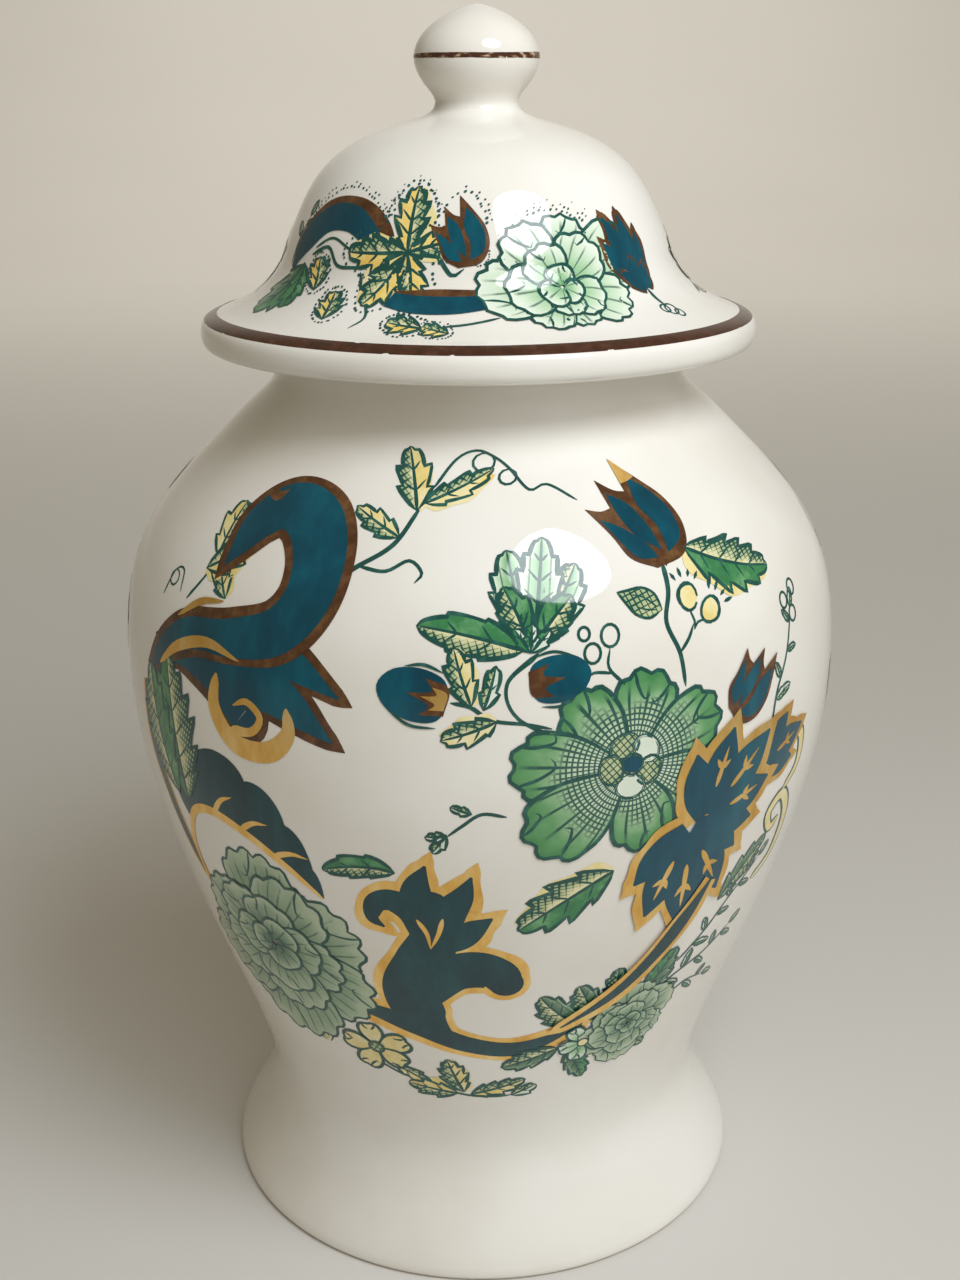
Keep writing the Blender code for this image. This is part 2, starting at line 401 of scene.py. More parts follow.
def stippledLeaf(name, ground, groundDeep, slant):
    # pale yellow wash under engraved dots that crowd together towards the shaded side
    material, tree, shader, place = startMaterial(name, thinWash)
    sheet = addNode(tree, "ShaderNodeUVMap", uv_map="paintMap")
    scale = 1 / printInk["dotSize"]
    turned = addNode(tree, "ShaderNodeMapping", {"Rotation": (0, 0, math.radians(slant)),
                                                 "Scale": (scale, scale, 1.0)}, {"Vector": sheet})
    parts = addNode(tree, "ShaderNodeSeparateXYZ", links={0: turned})
    widest = mathNode(tree, "MAXIMUM", *(offMiddle(tree, parts.outputs[axis]) for axis in ("X", "Y")))
    wash = addNode(tree, "ShaderNodeAttribute", attribute_name="wash").outputs["Fac"]
    crowd = mathNode(tree, "MULTIPLY_ADD", noise(tree, place, 4.0, 3.0), 0.9, wash)
    edge = mathNode(tree, "SUBTRACT", widest, mapped(tree, crowd, 0.45, 1.45, 0.50, 0.16))
    dots = mapped(tree, edge, 0.0, 0.07)
    tone = ramp(tree, crowd, (0.5, ground), (1.0, groundDeep))
    tree.links.new(mixed(tree, dots, tone, printInk["line"]), shader.inputs["Base Color"])
    return material


def dryBand(name):
    # brown thinned and dragged by an almost dry brush, so the glaze shows through
    material, tree, shader, place = startMaterial(name, {"Roughness": 0.20, "IOR": 1.53})
    drawn = addNode(tree, "ShaderNodeMapping", {"Scale": (1.0, 1.0, 2.2)}, {"Vector": place})
    colour = ramp(tree, noise(tree, drawn, 1.8, 3.0), (0.50, "#472A1E"), (0.58, "#7A5A42"), (0.68, "#C9B6A2"))
    tree.links.new(colour, shader.inputs["Base Color"])
    return material


enamels = {key: brushedEnamel(*look) for key, look in brushedLook.items()}
enamels.update({key: engravedPetal(*look) for key, look in engravedLook.items()})
enamels["leaf"] = stippledLeaf("Stippled leaf print", "#E8E2B4", "#A3B586", 45)
enamels["knobBand"] = dryBand("Dry brushed brown enamel")
print(len(enamels), "enamels mixed")


# painting tools: a spot is a place on the jar or lid, and motifs are drawn round it in millimetres,
# x round the pot to the right and y up along its surface

film = {
    "first": 0.035,    # mm that the lowest paint stands proud of the glaze
    "step": 0.022,     # mm more for each layer over it
    "across": 1.6,     # mm between the points across a wide stroke
    "inside": 1.7,     # mm between the points inside a filled outline
    "sliver": 1e-7,    # triangles of less than this, in mm2 doubled, are left out
}
sheets = {}            # the paint of one enamel on one body grows into one mesh


def spot(body, angle, height, turn=0.0, size=1.0, flip=1, layer=0):
    return {"body": body, "angle": angle, "height": height, "x": 0.0, "y": 0.0,
            "turn": turn, "size": size, "flip": flip, "layer": layer}


def onSheet(at, points):
    points = np.asarray(points, float)
    turn = math.radians(at["turn"])
    x = points[:, 0] * at["size"] * at["flip"]
    y = points[:, 1] * at["size"]
    return np.stack([at["x"] + x * math.cos(turn) - y * math.sin(turn),
                     at["y"] + x * math.sin(turn) + y * math.cos(turn)], axis=1)


def near(at, x, y, turn=0.0, size=1.0, flip=1, layer=0):
    # a spot placed from another one, in that one's own millimetres
    px, py = onSheet(at, [(x, y)])[0]
    return {**at, "x": px, "y": py, "turn": at["turn"] + at["flip"] * turn, "size": at["size"] * size,
            "flip": at["flip"] * flip, "layer": at["layer"] + layer}


def over(at, layers):
    return {**at, "layer": at["layer"] + layers}


def fromPot(at, places):
    # (angle, height) places on the pot as millimetres round an unturned spot
    side = sides[at["body"]]
    start = np.interp(at["height"], side["height"], side["along"])
    drawn = []
    for angle, height in places:
        along = np.interp(height, side["height"], side["along"])
        radius = np.interp(along, side["along"], side["radius"])
        drawn.append((math.radians(angle - at["angle"]) * radius, along - start))
    return drawn


def lay(at, enamel, points, faces, maps, wash):
    sheet = sheets.setdefault((at["body"], enamel),
                              {"count": 0, "points": [], "normals": [], "faces": [], "maps": [], "wash": []})
    flat = onSheet(at, points)
    side = sides[at["body"]]
    along = np.interp(at["height"], side["height"], side["along"]) + flat[:, 1]
    radius, height, outward, upward = (np.interp(along, side["along"], side[key])
                                       for key in ("radius", "height", "outward", "upward"))
    angle = math.radians(at["angle"]) + flat[:, 0] / radius
    lift = film["first"] + film["step"] * at["layer"]
    reach = radius + lift * outward
    east, south = np.sin(angle), -np.cos(angle)
    sheet["points"].append(np.stack([reach * east, reach * south, height + lift * upward], 1))
    sheet["normals"].append(np.stack([outward * east, outward * south, upward], 1))
    faces = np.asarray(faces, int)
    if faces.shape[1] == 4:       # triangles, so that no folded quad turns its face inwards
        faces = np.concatenate([faces[:, (0, 1, 2)], faces[:, (0, 2, 3)]])
    corners = flat[faces]
    ahead = np.roll(corners, -1, axis=1)
    area = (corners[..., 0] * ahead[..., 1] - ahead[..., 0] * corners[..., 1]).sum(axis=1)
    faces = np.where((area < 0)[:, None], faces[:, ::-1], faces)[np.abs(area) > film["sliver"]]
    sheet["faces"] += (faces + sheet["count"]).tolist()
    sheet["maps"].append(np.asarray(maps, float))
    sheet["wash"].append(np.asarray(wash, float))
    sheet["count"] += len(points)


def smoothLine(points, step=1.0, closed=False):
    # even points on a smooth line through a few; a point given twice is a sharp corner
    points = [np.array(point, float) for point in points]
    if closed:
        points.append(points[0])
    runs, current = [], [points[0]]
    for before, here in zip(points, points[1:]):
        if np.allclose(before, here):
            runs.append(current)
            current = [here]
        else:
            current.append(here)
    runs.append(current)
    runs = [run for run in runs if len(run) > 1]
    ring = closed and len(runs) == 1
    drawn = [runs[0][0]]
    for run in runs:
        first = run[-2] if ring else 2 * run[0] - run[1]
        last = run[1] if ring else 2 * run[-1] - run[-2]
        padded = [first] + run + [last]
        for a, b, c, d in zip(padded, padded[1:], padded[2:], padded[3:]):
            parts = max(1, round(float(np.linalg.norm(c - b)) / step))
            for k in range(1, parts + 1):
                t = k / parts
                drawn.append(0.5 * (2 * b + (c - a) * t + (2 * a - 5 * b + 4 * c - d) * t * t
                                    + (3 * b - a - 3 * c + d) * t ** 3))
    return np.array(drawn)


def directions(path):
    ahead = np.gradient(path, axis=0)
    ahead /= np.maximum(np.linalg.norm(ahead, axis=1), tiny)[:, None]
    return ahead, np.stack([-ahead[:, 1], ahead[:, 0]], axis=1)


def along(path):
    lengths = np.concatenate([[0.0], np.cumsum(np.linalg.norm(np.diff(path, axis=0), axis=1))])
    return lengths, lengths / max(lengths[-1], tiny)


def spread(values, share):
    # a width given by a few numbers from end to end, eased between them
    if callable(values):
        return values(share)
    values = np.atleast_1d(np.asarray(values, float))
    if len(values) == 1:
        return np.full(len(share), values[0])
    places = smoothLine([(i, v) for i, v in enumerate(values)], 0.1)
    return np.maximum(np.interp(share * (len(values) - 1), places[:, 0], places[:, 1]), 0.0)


def gridFaces(rows, columns):
    corner = (np.arange(rows - 1)[:, None] * columns + np.arange(columns - 1)[None, :]).ravel()
    return np.stack([corner, corner + 1, corner + columns + 1, corner + columns], axis=1)


def laySquares(at, enamel, grid, maps, wash):
    faces = gridFaces(*grid.shape[:2])
    lay(at, enamel, grid.reshape(-1, 2), faces, maps.reshape(-1, 2), wash.ravel())


def toward(direction, reach=1.0):
    # a step in millimetres, its direction in degrees clockwise from up
    a = math.radians(direction)
    return reach * np.array([math.sin(a), math.cos(a)])


def blade(at, enamel, spine, left, right, lean=0.0, step=0.9, wash=None, drawn=False):
    # a filled shape along a spine: widths to its left and right, the sides leaning towards its tip
    path = np.asarray(spine, float) if drawn else smoothLine(spine, step)
    ahead, leftward = directions(path)
    lengths, share = along(path)
    leftWidth, rightWidth = spread(left, share), spread(right, share)
    slant = math.radians(lean)
    toLeft = leftward * math.cos(slant) + ahead * math.sin(slant)
    toRight = -leftward * math.cos(slant) + ahead * math.sin(slant)
    size = at["size"]
    leftParts = max(1, math.ceil(leftWidth.max() * size / film["across"]))
    rightParts = max(1, math.ceil(rightWidth.max() * size / film["across"]))
    columns = [(toLeft, leftWidth, k / leftParts, -1) for k in range(leftParts, 0, -1)]
    columns += [(toRight, rightWidth, k / rightParts, 1) for k in range(rightParts + 1)]
    places = [path + way * (wide * part)[:, None] for way, wide, part, hand in columns]
    grid = np.stack(places, axis=1)
    offset = np.stack([wide * part * hand * size for way, wide, part, hand in columns], axis=1)
    maps = np.stack([offset, np.repeat(lengths[:, None] * size, len(columns), axis=1)], axis=2)
    parts = np.stack([np.full(len(path), part * hand) for way, wide, part, hand in columns], axis=1)
    shares = np.repeat(share[:, None], len(columns), axis=1)
    amount = wash(shares, parts) if wash else shares
    laySquares(at, enamel, grid, maps, amount)
    return grid[:, 0], grid[:, -1]


def stroke(at, points, width, enamel="line", step=0.8, closed=False, drawn=False, thin=0.25):
    # a brush or pen line, drawn finer at both ends
    path = np.asarray(points, float) if drawn else smoothLine(points, step, closed)
    ahead, leftward = directions(path)
    lengths, share = along(path)
    half = spread(width, share) / 2
    if not closed:
        reach = min(1.6, lengths[-1] / 3 + 1e-6)
        fromEnd = np.minimum(lengths, lengths[-1] - lengths)
        half = half * (thin + (1 - thin) * np.clip(fromEnd / reach, 0, 1) ** 0.6)
    else:
        leftward[0] = leftward[-1] = (leftward[0] + leftward[-1]) / 2
    grid = np.stack([path + leftward * half[:, None], path - leftward * half[:, None]], axis=1)
    maps = np.stack([np.stack([-half, half], 1), np.stack([lengths, lengths], 1)], axis=2)
    laySquares(at, enamel, grid, maps, np.repeat(share, 2))


def insideOf(edge, places):
    inside = np.zeros(len(places), bool)
    for (ax, ay), (bx, by) in zip(edge, np.roll(edge, -1, axis=0)):
        crosses = (ay > places[:, 1]) != (by > places[:, 1])
        reach = (bx - ax) * (places[:, 1] - ay) / (by - ay if by != ay else tiny) + ax
        inside ^= crosses & (places[:, 0] < reach)
    return inside


def fill(at, enamel, outline, step=0.9, drawn=False):
    # a filled closed outline, with points inside so that it follows the round of the pot
    edge = np.asarray(outline, float) if drawn else smoothLine(outline, step, closed=True)[:-1]
    gap = film["inside"] / at["size"]
    low, high = edge.min(axis=0), edge.max(axis=0)
    columns, rows = np.meshgrid(np.arange(low[0], high[0], gap), np.arange(low[1], high[1], gap))
    places = np.stack([columns.ravel(), rows.ravel()], axis=1)
    if len(places):
        places = places[insideOf(edge, places)]
    if len(places):
        nearest = np.linalg.norm(places[:, None] - edge[None], axis=2).min(axis=1)
        places = places[nearest > 0.35 * gap]
    every = [Vector(point) for point in np.concatenate([edge, places])]
    points, edges, faces, *rest = delaunay_2d_cdt(every, [], [list(range(len(edge)))], 1, 0.00001)
    points = np.array([tuple(point) for point in points])
    if faces:
        lay(at, enamel, points, faces, points * at["size"], np.full(len(points), 0.5))
    return edge


def ringPoints(x, y, wide, tall=None, turn=0.0, count=14):
    tall = tall or wide
    turn = math.radians(turn)
    ring = []
    for k in range(count):
        a = 2 * math.pi * k / count
        px, py = wide / 2 * math.cos(a), tall / 2 * math.sin(a)
        ring.append((x + px * math.cos(turn) - py * math.sin(turn),
                     y + px * math.sin(turn) + py * math.cos(turn)))
    return ring


# flowers, leaves and scrolls: plain garden shapes, each drawn from its own foot upwards

petalShape = {"foot": 0.10, "shoulder": 0.26, "bulge": 0.30, "frill": 0.075, "curl": 0.30}


def petal(at, direction, length, opening, kind="petal", waves=4, ink=0.65, curls=2):
    # direction in degrees clockwise from the spot's own up, opening the angle that the petal fills
    size = at["size"]
    half = math.radians(opening) / 2
    columns = max(10, math.ceil(2 * half * length * size / 1.1))
    rows = max(6, math.ceil(length * size / 1.5))
    side = np.linspace(-1, 1, columns + 1)
    shift = dice.uniform(-0.3, 0.3)
    rim = length * (1 - petalShape["shoulder"] * np.abs(side) ** 2.4
                    + petalShape["frill"] * (np.abs(np.sin(waves * math.pi * (side + 1) / 2 + shift)) - 0.5))
    out = np.linspace(petalShape["foot"], 1, rows + 1)[:, None]
    opened = 0.80 + petalShape["bulge"] * np.sin(math.pi * 0.85 * out)
    angle = math.radians(direction) + side * half * opened
    grid = np.stack([rim * out * np.sin(angle), rim * out * np.cos(angle)], axis=2)
    dotRows = max(3, round(2 * half * 0.62 * length * size / printInk["dotSize"] / 3) * 3)
    maps = np.stack([np.repeat((side * dotRows / 2)[None], rows + 1, axis=0), rim * out * size], axis=2)
    laySquares(at, kind, grid, maps, np.repeat(out, columns + 1, axis=1))
    outline = np.concatenate([grid[:, 0], grid[-1, 1:-1], grid[::-1, -1]])
    stroke(over(at, 0.5), outline, [0.6 * ink, ink, 1.25 * ink, ink, 1.3 * ink, ink, 0.6 * ink], drawn=True)
    for k in range(curls):
        column = round(columns * (k + 1 + dice.uniform(-0.2, 0.2)) / (curls + 1))
        start = grid[-1, column]
        inward = -start / np.linalg.norm(start)
        across = np.array([-inward[1], inward[0]]) * dice.choice((-1, 1))
        reach = petalShape["curl"] * length * dice.uniform(0.7, 1.2)
        curl = [start] + [start + inward * reach * down + across * reach * sideways
                          for down, sideways in ((0.5, 0.10), (0.95, 0.34), (0.85, 0.58))]
        stroke(over(at, 0.5), curl, [ink, ink * 0.9, ink * 0.5])


blossomShape = {
    # direction, length and opening of each petal, in the order they are painted
    "petals": [(8, 15.5, 64), (60, 18, 54), (-46, 16, 56), (110, 20, 52), (-92, 20, 52), (160, 16.5, 62),
               (-136, 21, 58)],
    "heart": [(-30, 3.6), (40, 3.4), (110, 3.3), (178, 4.0), (-105, 3.8)],
    "eye": 3.4,
}


def blossom(at, shape=blossomShape):
    for k, (direction, length, opening) in enumerate(shape["petals"]):
        petal(over(at, k), direction, length, opening)
    top = over(at, len(shape["petals"]))
    for k, (direction, reach) in enumerate(shape["heart"]):
        lobe = ringPoints(*toward(direction, reach), 5.2, 4.2, -direction)
        stroke(over(top, 0.1 * k), lobe, 0.55, closed=True)
        fill(over(top, 0.1 * k), "pale" if k % 2 else "leaf", lobe)
    fill(over(top, 1), "teal", ringPoints(0, 0, shape["eye"], shape["eye"] * 0.85))
    stroke(over(top, 1), ringPoints(0, 0, shape["eye"] + 0.3), 0.4, closed=True)


peonyShape = {
    # how many petals, how long, how wide open and turned by how much, ring by ring from outside in
    "rings": [(6, 20.0, 78, 0, 6), (5, 15.0, 86, 30, 5), (4, 10.0, 104, 5, 3), (3, 5.6, 130, 40, 2)],
    "folds": 5,
}


def peony(at, kind="shade", shape=peonyShape, stretch=()):
    layer = 0
    for ring, (count, length, opening, first, waves) in enumerate(shape["rings"]):
        for k in range(count):
            direction = first + 360 * k / count + dice.uniform(-7, 7)
            longer = 1 + 0.12 * math.sin(math.radians(direction * 2 + 40)) + dice.uniform(-0.06, 0.06)
            for pull, factor in stretch:
                longer *= 1 + (factor - 1) * max(0.0, math.cos(math.radians(direction - pull))) ** 3
            petal(over(at, layer), direction, length * longer, opening, kind, waves, 0.5, int(ring < 3))
            layer += 0.8
    top = over(at, layer)
    for k in range(shape["folds"]):
        a = math.radians(360 * k / shape["folds"] + 20)
        stroke(top, [(reach * math.sin(a + more), reach * math.cos(a + more))
                     for reach, more in ((0.6, 0), (2.2, 0.5), (2.6, 1.2))], 0.5)


leafShape = {"belly": 0.72, "notch": 0.30, "lean": 32, "ink": 0.5, "veinReach": 0.72}


def leaf(at, length, width, bend=0.0, teeth=4, kinds=("leaf", "yellow"), ink=None, notch=None, washed=False):
    ink = ink or leafShape["ink"]
    notch = leafShape["notch"] if notch is None else notch
    spine = [(0, 0), (bend * 0.15, length * 0.3), (bend * 0.5, length * 0.66), (bend, length)]
    if washed:    # a yellow wash slipped a little off the printed leaf
        drift = dice.uniform(0.6, 1.0)
        blade(near(at, 0.22 * width * drift, -0.2, -3), "yellow", spine,
              lambda s: 0.7 * width * np.sin(math.pi * s ** 0.8) ** 0.7 * (1 + 0.10 * np.sin(9 * s)),
              lambda s: drift * width * np.sin(math.pi * s ** 0.75) ** 0.7 * (1 + 0.16 * np.sin(12 * s + 1)))
        at = over(at, 0.6)
    edges = []
    for hand in (0, 1):
        shift = dice.uniform(0.1, 0.5)

        def toothed(share, shift=shift):
            body = np.sin(math.pi * np.clip(share, 0, 1) ** leafShape["belly"]) ** 0.8
            return width * body * (1 - notch + notch * 1.6 * ((share * teeth + shift) % 1.0) ** 1.3)

        widths = (toothed, 0.0) if hand == 0 else (0.0, toothed)
        both = blade(at, kinds[hand], spine, *widths, lean=leafShape["lean"], step=0.6,
                     wash=lambda share, part: np.abs(part))
        edges.append(both[hand])
    for edge in edges:
        stroke(over(at, 0.5), edge, [ink * 0.8, ink * 1.5, ink, ink * 1.4, ink], drawn=True)
    stroke(over(at, 0.5), spine, [ink * 1.3, ink, ink * 0.6])
    path = smoothLine(spine, 0.6)
    for k in range(1, teeth):
        here = round((len(path) - 1) * k / teeth * 0.92)
        reached = min(len(path) - 1, here + 2)
        for edge in edges:
            vein = (edge[reached] - path[here]) * leafShape["veinReach"]
            stroke(over(at, 0.5), [path[here], path[here] + vein], [ink * 0.9, ink * 0.5])


def edged(at, parts, rimKind="brown", rim=1.3, kind="teal"):
    # several strokes as one shape: each gets its own colour, and under all of them runs a line round each,
    # so that only the outside of that line is seen
    for spine, left, *right in parts:    # one row of widths serves both sides
        leftEdge, rightEdge = blade(over(at, 1), kind, spine, left, (right or [left])[0], step=0.5)
        tip = (leftEdge[-1] + rightEdge[-1]) / 2
        ahead = tip - (leftEdge[-4] + rightEdge[-4]) / 2
        ahead = ahead / max(np.linalg.norm(ahead), 1e-6)
        half = np.linalg.norm(leftEdge[-1] - rightEdge[-1]) / 2
        cap = np.zeros((0, 2))
        if half > 0.7:            # a blunt end is rounded
            across = (leftEdge[-1] - tip) / half
            cap = np.array([tip + across * half * math.cos(a) + ahead * half * math.sin(a)
                            for a in np.linspace(0, math.pi, 11)])
            fill(over(at, 1.3), kind, cap, drawn=True)
        around = np.concatenate([leftEdge, cap[1:-1], rightEdge[::-1]])
        keep = np.concatenate([[True], np.linalg.norm(np.diff(around, axis=0), axis=1) > 0.02])
        around = around[keep]
        uneven = [2 * rim * dice.uniform(0.72, 1.30) for k in range(13)]
        stroke(at, around, uneven, rimKind, drawn=True, thin=1)
        if half <= 0.7:           # a fine end is drawn out to a point
            point = [tip - ahead * rim * 0.8, tip + ahead * rim * 0.6, tip + ahead * rim * 2.1]
            stroke(at, point, [2 * rim, 1.7 * rim, 0.1], rimKind, step=0.4, thin=1)


tulipShape = {
    "cup": [(-2, 0), (5.5, 1.0), (8.8, 6.5), (8.0, 13), (4.8, 18.5), (0.6, 24.5), (0.6, 24.5), (0.1, 17.0),
            (0.1, 17.0), (-2.2, 18.0), (-4.8, 21.0), (-4.8, 21.0), (-5.0, 14.4), (-5.0, 14.4), (-7.4, 14.2),
            (-10.2, 15.4), (-10.2, 15.4), (-8.0, 8.8), (-6.6, 3.4)],
    "flames": [[(2.0, 2.2), (6.6, 4.6), (7.6, 10.2), (5.6, 15.6), (2.2, 20.0), (2.2, 20.0), (1.0, 13.4),
                (2.6, 8.0)],
               [(0.8, 3.2), (-3.0, 7.2), (-4.3, 12.6), (-4.2, 17.6), (-4.2, 17.6), (-1.0, 14.4), (0.7, 8.6)],
               [(-0.8, 1.9), (-5.4, 3.6), (-8.6, 12.6), (-8.6, 12.6), (-5.2, 10.0), (-1.8, 5.4)]],
    "tip": [(0.6, 24.9), (0.6, 24.9), (3.9, 19.5), (3.9, 19.5), (2.2, 19.0), (0.2, 18.8), (0.2, 18.8)],
}


def tulip(at, shape=tulipShape, tip=True):
    fill(at, "brown", shape["cup"])
    for flame in shape["flames"]:
        fill(over(at, 1), "teal", flame)
    if tip:
        fill(over(at, 2), "gold", shape["tip"])


def tealBud(at, flame="gold"):
    body = [(0, 0), (3.6, 1.2), (4.7, 5.5), (3.4, 10.2), (0, 12.4), (-3.4, 10.2), (-4.6, 5.4), (-3.5, 1.2)]
    fill(at, "teal", body)
    star = [(-2.4, 0.2), (-3.2, 4.4), (-3.2, 4.4), (-1.2, 3.0), (0.1, 7.2), (0.1, 7.2), (1.3, 3.0),
            (3.3, 4.6), (3.3, 4.6), (2.4, 0.2)]
    fill(over(at, 1), "brown", star)
    if flame:
        fill(near(at, 0, 0.2, 0, 0.62, layer=2), flame, star)
    stroke(over(at, 1), [(-4.8, 1.0), (-5.3, 5.6), (-3.6, 9.8)], [0.3, 0.6, 0.3])
    stroke(over(at, 1), [(4.8, 1.6), (5.4, 5.2), (4.4, 8.4)], [0.3, 0.6, 0.3])


def printedBud(at, length=19):
    # pointed petals still closed, pale at their tips, the printed green calyx round their foot
    leaf(near(at, -1.0, 0.5, 15), length * 0.86, 4.6, 0.6, 4, ("blush", "blush"), 0.6, 0.2)
    leaf(near(at, 1.5, 0.5, -24, layer=0.7), length * 0.80, 4.4, -0.6, 4, ("leaf", "blush"), 0.6, 0.2)
    leaf(near(at, 0.4, 0.3, -4, layer=1.4), length, 4.6, -0.4, 5, ("blush", "blush"), 0.65, 0.2)
    leaf(near(at, -0.2, 0.3, 22, layer=2.1), length * 0.56, 3.4, -1.0, 3, ("leaf", "green"), 0.6, 0.2)
    leaf(near(at, 0.4, 0.3, -30, layer=2.4), length * 0.56, 3.4, 1.0, 3, ("green", "leaf"), 0.6, 0.2)
    for turn in (-38, 0, 38):
        leaf(near(at, 0, -1.0, turn, layer=3), length * 0.26, 1.5, 0, 2, ("green", "pale"), 0.45)


def smallBud(at, kind="yellow"):
    outline = [(0, 0), (2.5, 2.4), (2.7, 5.2), (1.2, 7.6), (0, 9.4), (0, 9.4), (-1.4, 7.4), (-2.7, 5.0),
               (-2.4, 2.2)]
    edge = fill(at, kind, outline)
    stroke(over(at, 0.5), edge, 0.55, drawn=True)
    stroke(over(at, 0.5), [(0.2, 1.2), (1.0, 4.4), (0.4, 7.6)], [0.5, 0.35, 0.2])
    stroke(over(at, 0.5), [(-0.4, 1.2), (-1.2, 3.8), (-1.1, 5.6)], [0.5, 0.35, 0.2])


def stem(at, points, width=(0.9, 0.7, 0.45)):
    stroke(at, points, list(width))


def turnOf(ahead):
    return math.degrees(math.atan2(ahead[1], ahead[0])) - 90


def sprig(at, points, count=5, size=5.0, kinds=("pale", "green"), width=(0.6, 0.5, 0.35), ink=0.38):
    # a thin stem with small leaves, left and right in turn
    path = smoothLine(points, 0.8)
    stroke(at, path, list(width), drawn=True)
    for k in range(count):
        here = round((len(path) - 1) * (k + 1) / (count + 0.6))
        heading = turnOf(path[min(here + 1, len(path) - 1)] - path[max(here - 1, 0)])
        hand = 1 if k % 2 else -1
        long = size * (1 - 0.35 * k / max(count, 1)) * dice.uniform(0.85, 1.15)
        leaf(near(at, *path[here], heading + hand * 48), long, long * 0.22, hand * -0.6, 2, kinds, ink, 0.15)
    leaf(near(at, *path[-1], turnOf(path[-1] - path[-2])), size * 0.8, size * 0.2, 0, 2, kinds, ink, 0.15)


def loopPoints(x, y, across, start=200, sweep=400, count=12):
    # one loop of a tendril
    return [(x + across / 2 * math.cos(math.radians(start + sweep * k / count)),
             y + across / 2 * math.sin(math.radians(start + sweep * k / count))) for k in range(count + 1)]


def tendril(at, points, width=0.42, loops=()):
    stroke(at, points, [width * 1.2, width, width, width * 0.8])
    for x, y, across, start in loops:
        stroke(at, loopPoints(x, y, across, start), [width * 0.8, width, width * 0.7])


def berries(at, count=2, kind="yellow", size=5.4):
    for k in range(count):
        side = (-1, 1)[k % 2]
        x, y = side * size * 0.52, size * (0.9 + 0.25 * (k // 2) * 4) + (0.9 if side < 0 else 0)
        stem(at, [(0, 0), (side * 0.4, size * 0.3), (x * 0.8, y - size * 0.4)], (0.6, 0.5, 0.4))
        edge = fill(over(at, 0.5), kind, ringPoints(x, y, size * 0.78, size, side * -18))
        stroke(over(at, 0.8), edge, 0.6, closed=False, drawn=True, thin=0.8)
        stroke(over(at, 0.8), loopPoints(x, y, size * 0.86, 80 + 180 * (side > 0), 200), [0.4, 0.75, 0.4])
        for a in (-34, -12, 12, 34):
            ends = [(x, y) + toward(a + side * 20, size * reach) for reach in (0.72, dice.uniform(1.0, 1.2))]
            stroke(over(at, 0.5), ends, [0.5, 0.8, 0.4])


def fiveFlower(at, size=9.0, kind="yellow", heart="leaf"):
    for k in range(5):
        direction = 72 * k + dice.uniform(-6, 6)
        petal(over(at, 0.9 * k), direction, size * dice.uniform(0.88, 1.0), 66, kind, 2, 0.6, 2)
    top = over(at, 4.6)
    edge = fill(top, heart, ringPoints(0, 0, size * 0.40))
    stroke(over(top, 0.2), np.concatenate([edge, edge[:1]]), 0.5, drawn=True, thin=1)


def fringe(at, points, rows=2, size=0.55):
    # engraved dots that fray out from the edge of a print
    path = smoothLine(points, 0.95)
    ahead, leftward = directions(path)
    for row in range(rows):
        for here, out in zip(path, leftward):
            strayed = np.array([dice.uniform(-0.22, 0.22), dice.uniform(-0.2, 0.2)])
            x, y = here + out * (0.35 + 0.85 * row) + strayed
            if dice.random() > 0.25 * row:
                fill(at, "line", ringPoints(x, y, size * (1 - 0.25 * row) * dice.uniform(0.7, 1.1), count=6))


def goldRibs(at, ribs, width=1.0):
    for rib in ribs:
        stroke(at, rib, [width * 1.2, width, width * 0.4], "gold")


def lobeLine(lobe, shares):
    direction, length, width, bend = lobe
    way = toward(direction)
    across = np.array([way[1], -way[0]])
    return [way * length * s + across * bend * s * s for s in shares]


def lobedLeaf(at, lobes, rimKind="gold", rim=1.2):
    # a broad cut leaf: pointed lobes from one foot and one rim round them all; a lobe is its direction,
    # length, half width and bend
    edged(at, [(lobeLine(lobe, (0.05, 0.35, 0.7, 1.0)), [lobe[2] * 0.6, lobe[2], lobe[2] * 0.86, 0.2])
               for lobe in lobes], rimKind, rim)


def ribbed(at, lobes, width=0.9):
    for lobe in lobes:
        rib = lobeLine(lobe, (0.36, 0.56, 0.80))
        way = toward(lobe[0])
        across = np.array([way[1], -way[0]])
        forks = [[rib[1], rib[1] + way * lobe[1] * 0.10 + across * lobe[2] * side] for side in (0.42, -0.42)]
        goldRibs(over(at, 2), [rib] + forks, width)


# the jar's decoration: one painted side, laid on front and back, with a climbing sprig at each flank

def spotter(body, side):
    return lambda angle, height, *more, **named: spot(body, side + angle, height, *more, **named)


def placer(at, side):
    # (angle, height) places of one painted side as millimetres round a spot
    return lambda places: fromPot(at, [(side + angle, height) for angle, height in places])


def beside(at, side, angle, height, turn=0.0, size=1.0, layer=0):
    return near(at, *placer(at, side)([(angle, height)])[0], turn, size, layer=layer)


